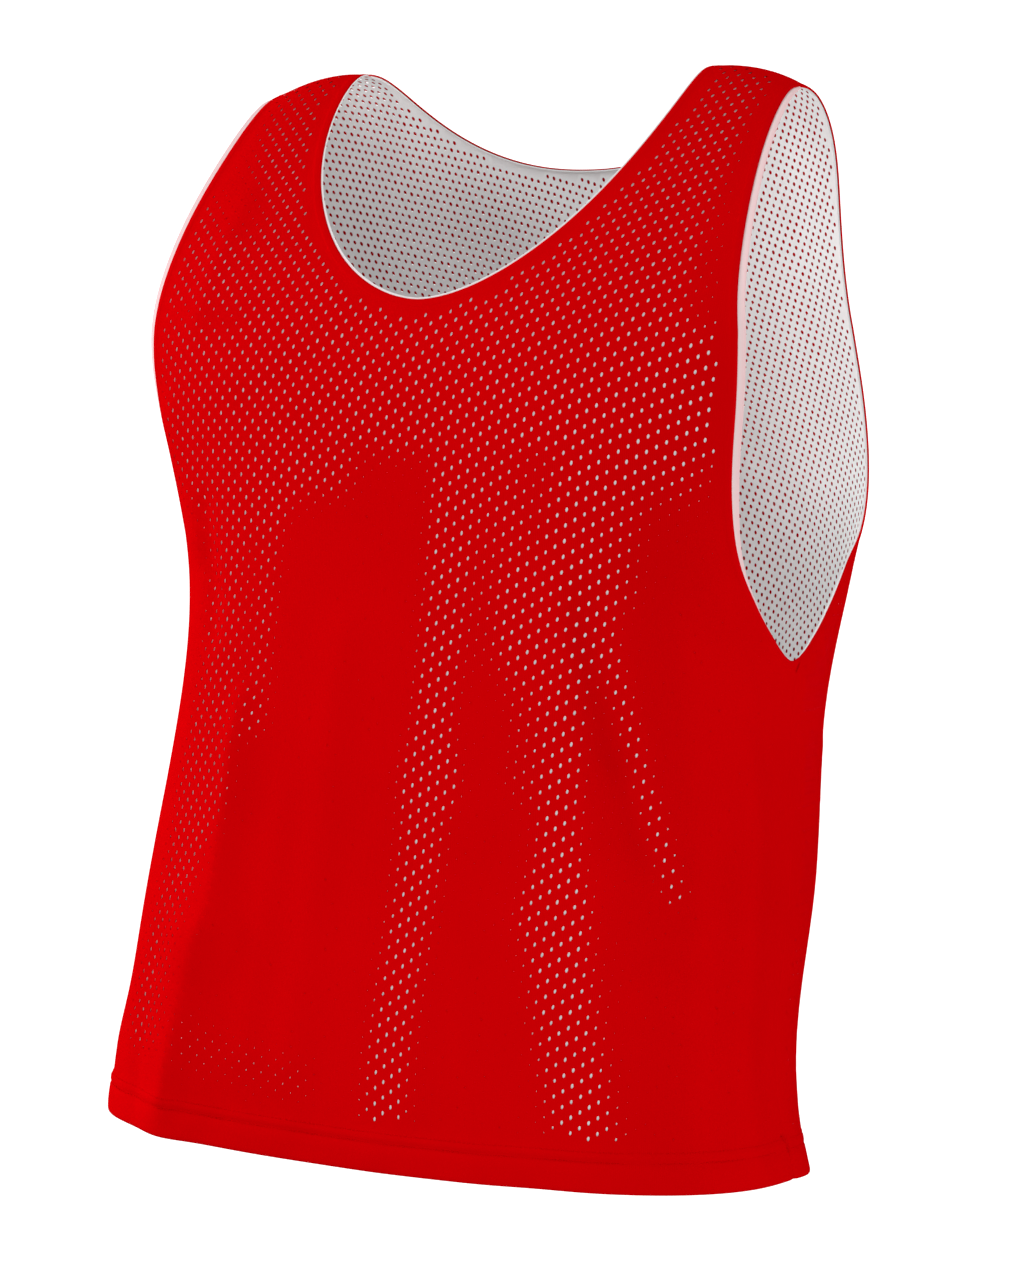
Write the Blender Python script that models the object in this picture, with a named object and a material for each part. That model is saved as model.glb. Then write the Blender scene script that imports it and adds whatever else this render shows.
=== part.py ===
"""Reversible two-layer practice jersey, sleeveless, in open mesh knit.

Four panels of cloth: a red front and back outside, a white front and back inside.
Each panel is cut flat as a slab of cloth, then formed over the figure that fills it.
Frame: +Z up, the front of the garment faces -Y, +X is the wearer's left.
The origin is where the wearer's shoulders hold the jersey up, between the two shoulder seams.
Tables are in millimetres; the objects are built in metres.
"""

import math

import bmesh
import bpy
import numpy as np
from mathutils import Vector, geometry

MM = 0.001
HOLD_HEIGHT = 616.0      # hem level to the level the shoulders hold it at

# Figure under the cloth, by height over the hem level.
FIGURE_COLUMNS = ("height", "half_width", "front_depth", "back_depth", "centre_y")
FIGURE = (
    (-30.0, 226.0, 104.0, 82.0, -82.0),
    (58.0, 208.0, 107.0, 98.0, -85.5),
    (155.0, 202.5, 117.0, 117.0, -60.5),
    (252.0, 190.5, 132.5, 133.5, -35.5),
    (330.0, 195.0, 144.0, 139.5, -13.0),
    (407.0, 216.5, 137.0, 127.0, -13.5),
    (485.0, 240.0, 102.0, 104.5, -29.5),
    (553.0, 249.0, 63.0, 80.5, -20.5),
    (631.0, 256.5, 28.5, 62.0, 6.5),
)
ROUND_FRONT = 2.9        # exponent of the ring's front half, 2 is an ellipse
ROUND_BACK = 2.5         # exponent of the ring's back half

# Shoulders: the top line of the cloth and how it rounds over.
NECK_HALF = 118.0        # centre line to the neck end of the shoulder seam
ARM_HALF = 176.0         # centre line to the arm end of the shoulder seam
NECK_TOP = 621.0         # height of the shoulder line at its neck end
SHOULDER_SLOPE = 0.215
SHOULDER_RISE = 4.5      # how far the shoulder line bows up between its ends
CAP_FRONT = 85.0         # height over which the front rounds over the shoulder
CAP_BACK = 120.0
CAP_ROUND = 2.6          # exponent of that rounding
RING_TOP = 470.0         # columns follow the rings up to here, then go straight up

# Neck line of each side: lowest height at the centre, and the two exponents of its curve.
NECK_LINE = {"front": (487.5, 1.8, 1.8), "back": (564.0, 2.2, 1.33)}

# Armhole edge of each side, from the side seam up: distance round from the centre line, height.
# The edge crosses the side seam at ARMHOLE_SEAM; its lowest point lies just in front of it.
ARMHOLE_SEAM = 285.6
ARMHOLE = {
    "front": ((267.5, 283.4), (260.5, 285.8), (252.3, 290.9), (242.8, 298.6), (232.0, 308.4),
              (222.5, 319.4), (214.2, 331.0), (207.4, 345.0), (203.0, 362.0), (200.5, 393.0),
              (201.5, 439.0), (196.5, 492.0), (188.5, 542.0), (182.0, 578.5)),
    "back": ((262.8, 289.6), (256.0, 295.0), (248.6, 301.8), (241.6, 310.2), (234.2, 320.0),
             (225.2, 334.0), (211.4, 359.0), (197.0, 393.0), (188.5, 439.0), (184.0, 492.0),
             (184.0, 542.0), (183.5, 578.5)),
}

# Hem edge: height over the hem level against the share of the half width, square and linear.
HEM_SQUARE = 7.8
HEM_LEAN = -9.0
HEM_DEPTH = 24.0         # turned-up hem
HEM_PROUD = 0.8          # how far the turned-up hem stands out of its layer

# Cloth.
WALL = 1.0
LAYER_GAP = 0.3
SEAM_GAP = 0.3

# How finely the figure is followed and the panels are cut.
RING_POINTS = 500        # points on a quarter ring
LOWEST = -30.0           # lowest ring, under the hem
LEVEL_STEP = 5.0         # height between rings
UPPER_STEPS = 14         # steps from the top ring to where the shoulder starts to round
CAP_STEPS = 26           # steps over the shoulder
REACH = 332.0            # how far round each side's table of columns goes
FLAT_TOP = 760.0         # how far up the cloth it goes
UPPER_COLUMNS = 60       # columns on the front of the upper body, before they turn back
PITCH = 19.2             # spacing of the points inside a panel
EDGE_PITCH = 13.0        # spacing of the points along its edges
EDGE_ROOM = 0.55         # share of EDGE_PITCH kept free along the edges
GRID_ROWS = 60
GRID_HALF = 24           # columns of points on each side of the centre line
GRID_FIRST = 8.0         # height of the first row over the hem level
HEM_STEP = 1.0           # half the width of the step from the hem up to the panel
HEM_ROOM = 7.0           # kept free on each side of that step
HEM_SHORT = 6.0          # the step stops this far from each side seam

# Largest folds: a soft ridge (+) or trough (-) along a line on the flat panel.
SEAM_FADE = 14.0         # folds die out this close to a side seam
SHOULDER_FADE = 30.0     # and this close to a shoulder seam
FADE_TOP = 300.0         # height up to which the side seam counts
FOLD_COLUMNS = ("round0", "up0", "round1", "up1", "half_width", "height")
FOLDS = {
    "front": (
        (-104.0, 236.0, -126.0, 120.0, 19.0, 3.6),
        (-126.0, 120.0, -146.0, -10.0, 21.0, 5.2),
        (-148.0, 372.0, -136.0, 300.0, 8.0, -2.6),
        (-184.0, 425.0, -160.0, 355.0, 12.0, 2.6),
        (120.0, 322.0, 146.0, 241.0, 12.0, -2.8),
        (146.0, 241.0, 160.0, 190.0, 12.0, -2.4),
        (232.0, 230.0, 240.0, 10.0, 12.0, 2.2),
        (86.0, 170.0, 112.0, -10.0, 26.0, -2.2),
        (18.0, 300.0, 10.0, 20.0, 30.0, 1.6),
        (-214.0, 50.0, -226.0, -10.0, 30.0, 3.6),
    ),
    "back": (
        (-118.0, 250.0, -140.0, -10.0, 20.0, 4.6),
        (-60.0, 330.0, -52.0, 120.0, 24.0, -2.4),
        (34.0, 240.0, 44.0, -10.0, 26.0, 3.4),
        (126.0, 300.0, 150.0, 90.0, 18.0, -3.0),
        (-176.0, 330.0, -150.0, 262.0, 10.0, 2.2),
        (168.0, 334.0, 142.0, 270.0, 10.0, 2.4),
        (226.0, 352.0, 244.0, 306.0, 16.0, -2.8),
        (0.0, 470.0, 6.0, 380.0, 34.0, -1.8),
    ),
}

RED = (0.56, 0.0, 0.004, 1.0)
WHITE = (0.80, 0.80, 0.81, 1.0)
COLLECTION = "reversible_lacrosse_jersey"


def spline(knots, values):
    """Natural cubic spline through a table column, as a function of the knot column."""
    x, y = np.asarray(knots, float), np.asarray(values, float)
    n, h = len(x), np.diff(x)
    system, right = np.eye(n), np.zeros(n)
    for i in range(1, n - 1):
        system[i, i - 1:i + 2] = h[i - 1], 2 * (h[i - 1] + h[i]), h[i]
        right[i] = 6 * ((y[i + 1] - y[i]) / h[i] - (y[i] - y[i - 1]) / h[i - 1])
    bend = np.linalg.solve(system, right)

    def value(at):
        at = np.asarray(at, float)
        i = np.clip(np.searchsorted(x, at) - 1, 0, n - 2)
        a, b = (x[i + 1] - at) / h[i], (at - x[i]) / h[i]
        curve = ((a ** 3 - a) * bend[i] + (b ** 3 - b) * bend[i + 1]) * h[i] ** 2 / 6
        return a * y[i] + b * y[i + 1] + curve

    return value


def column(table, names, name):
    """One named column of a table."""
    return [row[names.index(name)] for row in table]


HEIGHTS = column(FIGURE, FIGURE_COLUMNS, "height")
half_width = spline(HEIGHTS, column(FIGURE, FIGURE_COLUMNS, "half_width"))
centre_y = spline(HEIGHTS, column(FIGURE, FIGURE_COLUMNS, "centre_y"))
DEPTH = {
    "front": spline(HEIGHTS, column(FIGURE, FIGURE_COLUMNS, "front_depth")),
    "back": spline(HEIGHTS, column(FIGURE, FIGURE_COLUMNS, "back_depth")),
}
ROUND = {"front": ROUND_FRONT, "back": ROUND_BACK}
TOWARD = {"front": -1.0, "back": 1.0}
CAP = {"front": CAP_FRONT, "back": CAP_BACK}
OTHER = {"front": "back", "back": "front"}


def quarter(height, side):
    """Quarter ring at a height, from the centre line to the side: x and y."""
    angle = np.linspace(0.0, math.pi / 2, RING_POINTS)
    power = 2.0 / ROUND[side]
    x = half_width(height) * np.sin(angle) ** power
    y = centre_y(height) + TOWARD[side] * DEPTH[side](height) * np.cos(angle) ** power
    return x, y


def half_ring(height, side):
    """Half ring from this side's centre line round to the other side's: x, y and distance."""
    x0, y0 = quarter(height, side)
    x1, y1 = quarter(height, OTHER[side])
    x = np.concatenate((x0, x1[-2::-1]))
    y = np.concatenate((y0, y1[-2::-1]))
    return x, y, np.concatenate(((0.0,), np.cumsum(np.hypot(np.diff(x), np.diff(y)))))


def seam_distance(height, side):
    """Distance round from the centre line to the side seam at a height."""
    x, y = quarter(height, side)
    return float(np.hypot(np.diff(x), np.diff(y)).sum())


def shoulder_height(x):
    """Height of the top line of the cloth, falling from the neck to the arm."""
    share = np.clip((np.abs(x) - NECK_HALF) / (ARM_HALF - NECK_HALF), 0.0, 1.0)
    bow = 4.0 * SHOULDER_RISE * share * (1.0 - share)
    return NECK_TOP - SHOULDER_SLOPE * (np.abs(x) - NECK_HALF) + bow


class Side:
    """One side of the garment: turns flat places (round, up) into places in space."""

    STEP = 4.0

    def __init__(self, side):
        self.side = side
        self.rounds = np.arange(0.0, REACH + self.STEP / 2, self.STEP)
        self.columns()
        self.regular()

    def columns(self):
        """Follow each column of the knit up from below the hem to the shoulder line."""
        levels = np.arange(LOWEST, RING_TOP + LEVEL_STEP / 2, LEVEL_STEP)
        rows = []
        for level in levels:
            x, y, s = half_ring(level, self.side)
            rows.append((np.interp(self.rounds, s, x), np.interp(self.rounds, s, y),
                         np.full(len(self.rounds), level)))
        x = rows[-1][0]
        top, cap = shoulder_height(x), CAP[self.side]
        for share in np.linspace(0.0, 1.0, UPPER_STEPS)[1:]:
            rows.append(self.over(x, RING_TOP + share * (top - cap - RING_TOP), 1.0))
        for turn in np.linspace(0.0, math.pi / 2, CAP_STEPS)[1:]:
            rise = math.sin(turn) ** (2.0 / CAP_ROUND)
            rows.append(self.over(x, top - cap * (1.0 - rise), math.cos(turn) ** (2.0 / CAP_ROUND)))
        self.space = np.array([np.stack(row, 1) for row in rows])
        run = np.linalg.norm(np.diff(self.space, axis=0), axis=2)
        self.up = np.concatenate((np.zeros((1, len(x))), np.cumsum(run, 0)))
        self.up -= self.up[int(round(-LOWEST / LEVEL_STEP))]
        self.top = self.up[-1]
        self.upper_x = x

    def over(self, x, height, keep):
        """Points at a height on the upper body, with this share of its depth kept."""
        power = ROUND[self.side]
        fill = np.clip(1.0 - np.abs(x / half_width(height)) ** power, 0.0, 1.0) ** (1.0 / power)
        depth = DEPTH[self.side](height) * fill * keep
        return x, centre_y(height) + TOWARD[self.side] * depth, height

    def regular(self):
        """Resample the columns at even lengths so any flat place is found by cubics."""
        self.ups = np.arange(LOWEST, FLAT_TOP, self.STEP)
        grid = np.empty((len(self.rounds), len(self.ups), 3))
        for i in range(len(self.rounds)):
            up, place = self.up[:, i], self.space[:, i]
            for axis in range(3):
                grid[i, :, axis] = np.interp(self.ups, up, place[:, axis])
            beyond = self.ups > up[-1]
            way = (place[-1] - place[-2]) / (up[-1] - up[-2])
            grid[i, beyond] = place[-1] + (self.ups[beyond] - up[-1])[:, None] * way
        self.grid = grid

    def form(self, flat):
        """Place in space of flat places, before folds."""
        flat = np.asarray(flat, float)
        mirror = np.where(flat[:, 0] < 0.0, -1.0, 1.0)
        u = np.clip(np.abs(flat[:, 0]), 0.0, REACH - 2 * self.STEP) / self.STEP
        v = (flat[:, 1] - self.ups[0]) / self.STEP
        i, j = np.floor(u).astype(int), np.clip(np.floor(v).astype(int), 1, len(self.ups) - 3)
        a, b = u - i, v - j
        wu, wv = cubic_weights(a), cubic_weights(b)
        out = np.zeros((len(flat), 3))
        for p in range(4):
            ip = i + p - 1
            flip = np.where(ip < 0, -1.0, 1.0)
            for q in range(4):
                sample = self.grid[np.abs(ip), j + q - 1].copy()
                sample[:, 0] *= flip
                out += (wu[p] * wv[q])[:, None] * sample
        out[:, 0] *= mirror
        return out

    def up_at(self, around, height):
        """Distance up the cloth to a height, on the column this far round."""
        i = min(int(abs(around) / self.STEP), len(self.rounds) - 2)
        share = abs(around) / self.STEP - i
        low = np.interp(height, self.space[:, i, 2], self.up[:, i])
        high = np.interp(height, self.space[:, i + 1, 2], self.up[:, i + 1])
        return float(low * (1 - share) + high * share)

    def round_at(self, x, height):
        """Distance round to a place x at a height."""
        if height >= RING_TOP:
            return float(np.interp(x, self.upper_x[:UPPER_COLUMNS], self.rounds[:UPPER_COLUMNS]))
        ring_x, _, s = half_ring(height, self.side)
        return float(np.interp(x, ring_x[:RING_POINTS - 1], s[:RING_POINTS - 1]))

    def place(self, flat, depth):
        """Place in space of flat places at a depth into the cloth, folds included."""
        flat = np.asarray(flat, float)
        step = 1.0
        along = np.array((step, 0.0))
        upward = np.array((0.0, step))
        across = self.form(flat + along) - self.form(flat - along)
        rising = self.form(flat + upward) - self.form(flat - upward)
        out = np.cross(across, rising)
        out /= np.linalg.norm(out, axis=1)[:, None]
        out *= -TOWARD[self.side]
        return self.form(flat) + out * (self.fold(flat) - np.asarray(depth))[:, None]

    def fold(self, flat):
        """Height of the folds at flat places."""
        height = np.zeros(len(flat))
        for row in FOLDS[self.side]:
            fold = dict(zip(FOLD_COLUMNS, row))
            start = np.array((fold["round0"], fold["up0"]))
            run = np.array((fold["round1"], fold["up1"])) - start
            along = ((flat - start) @ run) / float(run @ run)
            nearest = start + np.clip(along, 0.0, 1.0)[:, None] * run
            far = np.linalg.norm(flat - nearest, axis=1) / fold["half_width"]
            height += fold["height"] * np.exp(-far ** 2)
        return height * seam_fade(flat, self)


def cubic_weights(a):
    """Weights of four neighbours for a smooth curve through a regular table."""
    return (-0.5 * a + a ** 2 - 0.5 * a ** 3, 1.0 - 2.5 * a ** 2 + 1.5 * a ** 3,
            0.5 * a + 2.0 * a ** 2 - 1.5 * a ** 3, -0.5 * a ** 2 + 0.5 * a ** 3)


def seam_fade(flat, side):
    """Folds die out at the seams, so front and back still meet there."""
    heights = [height for height in HEIGHTS if height < RING_TOP]
    wide = spline(heights, [seam_distance(height, side.side) for height in heights])
    gap = wide(np.clip(flat[:, 1], heights[0], heights[-1])) - np.abs(flat[:, 0])
    top = np.interp(np.abs(flat[:, 0]), side.rounds, side.top) - flat[:, 1]
    low = np.where(flat[:, 1] > FADE_TOP, 1.0, np.clip(gap / SEAM_FADE, 0.0, 1.0))
    return low * np.clip(top / SHOULDER_FADE, 0.0, 1.0)


def resample(points, pitch):
    """Points evenly spaced along a line of points, ends kept."""
    points = np.asarray(points, float)
    run = np.concatenate(((0.0,), np.cumsum(np.linalg.norm(np.diff(points, axis=0), axis=1))))
    count = max(int(round(run[-1] / pitch)), 1)
    at = np.linspace(0.0, run[-1], count + 1)
    return np.stack((np.interp(at, run, points[:, 0]), np.interp(at, run, points[:, 1])), 1)


def through(points, count=400):
    """Smooth curve through a few points, by distance along them."""
    points = np.asarray(points, float)
    run = np.concatenate(((0.0,), np.cumsum(np.linalg.norm(np.diff(points, axis=0), axis=1))))
    at = np.linspace(0.0, run[-1], count)
    return np.stack((spline(run, points[:, 0])(at), spline(run, points[:, 1])(at)), 1)


def armhole_edge(side):
    """Armhole edge on the flat panel, from the side seam up to the shoulder."""
    start = (seam_distance(ARMHOLE_SEAM, side.side), ARMHOLE_SEAM)
    top_round = side.round_at(ARM_HALF, RING_TOP)
    top = (top_round, float(shoulder_height(ARM_HALF)))
    line = through((start,) + ARMHOLE[side.side] + (top,))
    line[:, 1] = [side.up_at(s, z) for s, z in line]
    line[-1] = (top_round, np.interp(top_round, side.rounds, side.top))
    return line


def neck_edge(side):
    """Neck edge on the flat panel, from the centre line up to the shoulder."""
    low, across, rise = NECK_LINE[side.side]
    line = []
    for turn in np.linspace(0.0, math.pi / 2, 120):
        x = NECK_HALF * math.sin(turn) ** (2.0 / across)
        height = NECK_TOP - (NECK_TOP - low) * math.cos(turn) ** (2.0 / rise)
        s = side.round_at(x, height)
        line.append((s, side.up_at(s, height)))
    line = np.array(line)
    line[-1, 1] = np.interp(line[-1, 0], side.rounds, side.top)
    return line


def hem_up(around, seam):
    """Height of the hem edge this far round."""
    share = around / seam
    return HEM_SQUARE * share ** 2 + HEM_LEAN * share


def side_line(side, start, mirror):
    """Side seam edge on the flat panel, from the hem up to the armhole."""
    heights = np.linspace(start, ARMHOLE_SEAM, 60)
    line = []
    for height in heights:
        s = seam_distance(height, side.side)
        line.append((mirror * (s - SEAM_GAP / 2), side.up_at(s, height)))
    return np.array(line)


def outline(side):
    """Cut edge of a panel on the flat, closed, and its hem line."""
    seam = seam_distance(0.0, side.side)
    across = np.linspace(-seam + SEAM_GAP / 2, seam - SEAM_GAP / 2, 90)
    hem = np.stack((across, hem_up(across, seam)), 1)
    right_side = side_line(side, hem[-1, 1], 1.0)
    left_side = side_line(side, hem[0, 1], -1.0)
    hem[-1], hem[0] = right_side[0], left_side[0]
    arm, neck = armhole_edge(side), neck_edge(side)
    arm[0] = right_side[-1]
    top = np.array((arm[-1], neck[-1]))
    for line in (arm, neck, top):
        limit = np.interp(np.abs(line[:, 0]), side.rounds, side.top) - SEAM_GAP / 2
        line[:, 1] = np.minimum(line[:, 1], limit)
    flip = np.array((-1.0, 1.0))
    left_arm = arm * flip
    left_arm[0] = left_side[-1]
    pieces = (hem, right_side, arm, top, neck[::-1], (neck * flip), (top * flip)[::-1],
              left_arm[::-1], left_side[::-1])
    edge = []
    for piece in pieces:
        edge.extend(resample(piece, EDGE_PITCH)[:-1].tolist())
    return np.array(edge), resample(hem, EDGE_PITCH)


def inside(points, edge):
    """Which points lie inside a closed edge."""
    x, y = points[:, 0], points[:, 1]
    hit = np.zeros(len(points), bool)
    for (x0, y0), (x1, y1) in zip(edge, np.roll(edge, -1, axis=0)):
        if y0 == y1:
            continue
        crosses = (y0 > y) != (y1 > y)
        hit ^= crosses & (x < (x1 - x0) * (y - y0) / (y1 - y0) + x0)
    return hit


def edge_distance(points, edge):
    """Distance of points from a closed edge."""
    best = np.full(len(points), 1e9)
    for a, b in zip(edge, np.roll(edge, -1, axis=0)):
        run = b - a
        along = np.clip(((points - a) @ run) / max(float(run @ run), 1e-9), 0.0, 1.0)
        best = np.minimum(best, np.linalg.norm(points - a - along[:, None] * run, axis=1))
    return best


def cut_panel(side):
    """Flat panel: its points, and its faces from a constrained triangulation."""
    edge, hem = outline(side)
    lines = []
    for lift in (HEM_DEPTH - HEM_STEP, HEM_DEPTH + HEM_STEP):
        line = hem.copy()
        line[:, 1] += lift
        line[0, 0], line[-1, 0] = line[0, 0] + HEM_SHORT, line[-1, 0] - HEM_SHORT
        lines.append(line)
    row = PITCH * math.sqrt(3.0) / 2.0
    grid = []
    for j in range(GRID_ROWS):
        for i in range(-GRID_HALF, GRID_HALF + 1):
            grid.append((PITCH * (i + 0.5 * (j % 2)), GRID_FIRST + row * j))
    grid = np.array(grid)
    keep = inside(grid, edge) & (edge_distance(grid, edge) > EDGE_ROOM * EDGE_PITCH)
    grid = grid[keep]
    grid = grid[np.abs(over_hem_edge(grid, side) - HEM_DEPTH) > HEM_ROOM]
    points = [Vector(p) for p in edge.tolist()]
    rim = [(i, (i + 1) % len(edge)) for i in range(len(edge))]
    for line in lines:
        first = len(points)
        points.extend(Vector(p) for p in line.tolist())
        rim.extend((first + i, first + i + 1) for i in range(len(line) - 1))
    points.extend(Vector(p) for p in grid.tolist())
    flat, _, faces, _, _, _ = geometry.delaunay_2d_cdt(points, rim, [list(range(len(edge)))], 1, 1e-5)
    return np.array([tuple(p) for p in flat]), [tuple(face) for face in faces]


def over_hem_edge(flat, side):
    """Height of flat places over the hem edge."""
    return flat[:, 1] - hem_up(flat[:, 0], seam_distance(0.0, side.side))


def make_panel(name, side, layer, material, collection):
    """Cut one panel as a flat slab, then form it over the figure."""
    flat, faces = cut_panel(side)
    mesh = bpy.data.meshes.new(name)
    shape = bmesh.new()
    corners = [shape.verts.new((p[0], p[1], 0.0)) for p in flat]
    for face in faces:
        shape.faces.new([corners[i] for i in face])
    shape.verts.index_update()
    made = bmesh.ops.extrude_face_region(shape, geom=shape.faces[:])
    lifted = [item for item in made["geom"] if isinstance(item, bmesh.types.BMVert)]
    for vert in lifted:
        vert.co.z = 1.0
    shape.verts.ensure_lookup_table()
    slab = np.array([tuple(vert.co) for vert in shape.verts])
    over = over_hem_edge(slab[:, :2], side)
    hem = np.where(over < HEM_DEPTH, HEM_PROUD, 0.0)
    first = 0.0 if layer == "outer" else WALL + LAYER_GAP
    out, deep = (hem, 0.0) if layer == "outer" else (0.0, hem)
    depth = np.where(slab[:, 2] > 0.5, first - out, first + WALL + deep)
    place = side.place(slab[:, :2], depth)
    place[:, 2] -= HOLD_HEIGHT
    for vert, spot in zip(shape.verts, place):
        vert.co = Vector(spot) * MM
    bmesh.ops.recalc_face_normals(shape, faces=shape.faces[:])
    for face in shape.faces:
        face.smooth = True
    shape.to_mesh(mesh)
    shape.free()
    mesh.materials.append(material)
    panel = bpy.data.objects.new(name, mesh)
    collection.objects.link(panel)
    return panel


def make_material(name, colour, roughness, sheen):
    """Knit polyester with one even colour."""
    material = bpy.data.materials.new(name)
    material.use_nodes = True
    shader = material.node_tree.nodes["Principled BSDF"]
    shader.inputs["Base Color"].default_value = colour
    shader.inputs["Roughness"].default_value = roughness
    shader.inputs["Sheen Weight"].default_value = sheen
    material.diffuse_color = colour
    return material


def build():
    """Make the whole jersey."""
    for old in list(bpy.data.objects):
        bpy.data.objects.remove(old, do_unlink=True)
    collection = bpy.data.collections.new(COLLECTION)
    bpy.context.scene.collection.children.link(collection)
    red = make_material("red_mesh_knit", RED, 0.62, 0.15)
    white = make_material("white_mesh_knit", WHITE, 0.68, 0.15)
    for name in ("front", "back"):
        side = Side(name)
        make_panel("outer_" + name, side, "outer", red, collection)
        make_panel("inner_" + name, side, "inner", white, collection)


build()
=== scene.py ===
"""Dressed model of a reversible mesh jersey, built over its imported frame.

The red layer is outside and the white layer inside. Each panel is modelled flat, as its cut
piece of mesh knit with its holes, its turned edges and its hem, and is then formed over the
figure that fills the jersey. Sizes are in millimetres until a mesh is finished in metres.
"""

import logging
import math
from dataclasses import dataclass
from enum import Enum
from typing import Callable, ClassVar

import bmesh
import bpy
import numpy as np
from mathutils import Matrix, Vector


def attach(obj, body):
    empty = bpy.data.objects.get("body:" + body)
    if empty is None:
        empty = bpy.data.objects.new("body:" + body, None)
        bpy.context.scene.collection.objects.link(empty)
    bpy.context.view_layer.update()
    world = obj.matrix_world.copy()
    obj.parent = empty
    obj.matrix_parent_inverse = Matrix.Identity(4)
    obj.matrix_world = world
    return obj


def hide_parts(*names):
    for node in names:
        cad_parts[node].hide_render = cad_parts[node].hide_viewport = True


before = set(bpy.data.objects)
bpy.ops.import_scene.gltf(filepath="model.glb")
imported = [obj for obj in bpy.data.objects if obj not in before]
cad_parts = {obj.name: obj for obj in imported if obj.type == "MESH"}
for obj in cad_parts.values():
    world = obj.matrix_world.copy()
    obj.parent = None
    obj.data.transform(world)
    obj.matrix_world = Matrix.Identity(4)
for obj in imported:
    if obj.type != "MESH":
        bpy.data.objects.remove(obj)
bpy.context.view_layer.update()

LOG = logging.getLogger("jersey")
MM = 0.001
UV_MAP = "Cloth"
Curve = Callable[[np.ndarray], np.ndarray]


class Side(Enum):
    """The two halves of the jersey, with the way that each faces along Y."""

    FRONT = -1.0
    BACK = 1.0

    @property
    def other(self) -> "Side":
        """The half on the far side of the seam."""
        return Side.BACK if self is Side.FRONT else Side.FRONT

    @property
    def word(self) -> str:
        """The name used in piece names."""
        return self.name.lower()


class Layer(Enum):
    """The two layers of cloth, with the depth of each under the outer face."""

    OUTER = 0.0
    INNER = 0.75

    @property
    def word(self) -> str:
        """The name used in piece names."""
        return self.name.lower()


def spline(knots: list[float], values: list[float]) -> Curve:
    """Natural cubic spline through a table column.

    Args:
        knots: The places of the values, rising.
        values: One value at each knot.

    Returns:
        The spline, as a function of the knot column.
    """
    x, y = np.asarray(knots, float), np.asarray(values, float)
    n, h = len(x), np.diff(x)
    system, right = np.eye(n), np.zeros(n)
    for i in range(1, n - 1):
        system[i, i - 1:i + 2] = h[i - 1], 2 * (h[i - 1] + h[i]), h[i]
        right[i] = 6 * ((y[i + 1] - y[i]) / h[i] - (y[i] - y[i - 1]) / h[i - 1])
    bend = np.linalg.solve(system, right)

    def value(at: np.ndarray) -> np.ndarray:
        """The spline at some places.

        Args:
            at: The places, in the units of the knots.

        Returns:
            The value at each of them.
        """
        at = np.asarray(at, float)
        i = np.clip(np.searchsorted(x, at) - 1, 0, n - 2)
        a, b = (x[i + 1] - at) / h[i], (at - x[i]) / h[i]
        curve = ((a ** 3 - a) * bend[i] + (b ** 3 - b) * bend[i + 1]) * h[i] ** 2 / 6
        return a * y[i] + b * y[i + 1] + curve

    return value


def along(points: np.ndarray) -> np.ndarray:
    """Distance along a line of points, at each of them."""
    steps = np.linalg.norm(np.diff(points, axis=0), axis=1)
    return np.concatenate(((0.0,), np.cumsum(steps)))


def resampled(points: np.ndarray, count: int, start: float = 0.0, end: float = 0.0) -> np.ndarray:
    """Evenly spaced points along a line, some way in from its ends.

    Args:
        points: The line.
        count: How many points to give.
        start: How far in from its first end to begin.
        end: How far in from its last end to stop.

    Returns:
        The new points, one a row.
    """
    run = along(points)
    at = np.linspace(start, run[-1] - end, count)
    return np.stack([np.interp(at, run, points[:, k]) for k in range(2)], 1)


def smooth_step(value: np.ndarray) -> np.ndarray:
    """Nought to one with level ends."""
    value = np.clip(value, 0.0, 1.0)
    return value * value * (3.0 - 2.0 * value)


@dataclass(frozen=True)
class SoftBand:
    """A soft ridge, trough or patch along a straight line on the flat cloth.

    Places are distances round from the centre line and up from the hem. The height is in
    millimetres on a fold or a crease, and a plain share on a patch of the net.
    """

    around0: float
    up0: float
    around1: float
    up1: float
    half_width: float
    height: float

    def at(self, flat: np.ndarray) -> np.ndarray:
        """Height of the band at flat places.

        Args:
            flat: Places on the flat cloth, one a row.

        Returns:
            The height at each place.
        """
        start = np.array((self.around0, self.up0))
        run = np.array((self.around1, self.up1)) - start
        share = np.clip(((flat - start) @ run) / float(run @ run), 0.0, 1.0)
        far = np.linalg.norm(flat - start - share[:, None] * run, axis=1) / self.half_width
        return self.height * np.exp(-far ** 2)


def soft_bands(flat: np.ndarray, bands: tuple[SoftBand, ...]) -> np.ndarray:
    """Sum of soft bands at flat places.

    Args:
        flat: Places on the flat cloth, one a row.
        bands: The bands to add up.

    Returns:
        The summed height at each place.
    """
    total = np.zeros(len(flat))
    for band in bands:
        total += band.at(flat)
    return total


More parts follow.
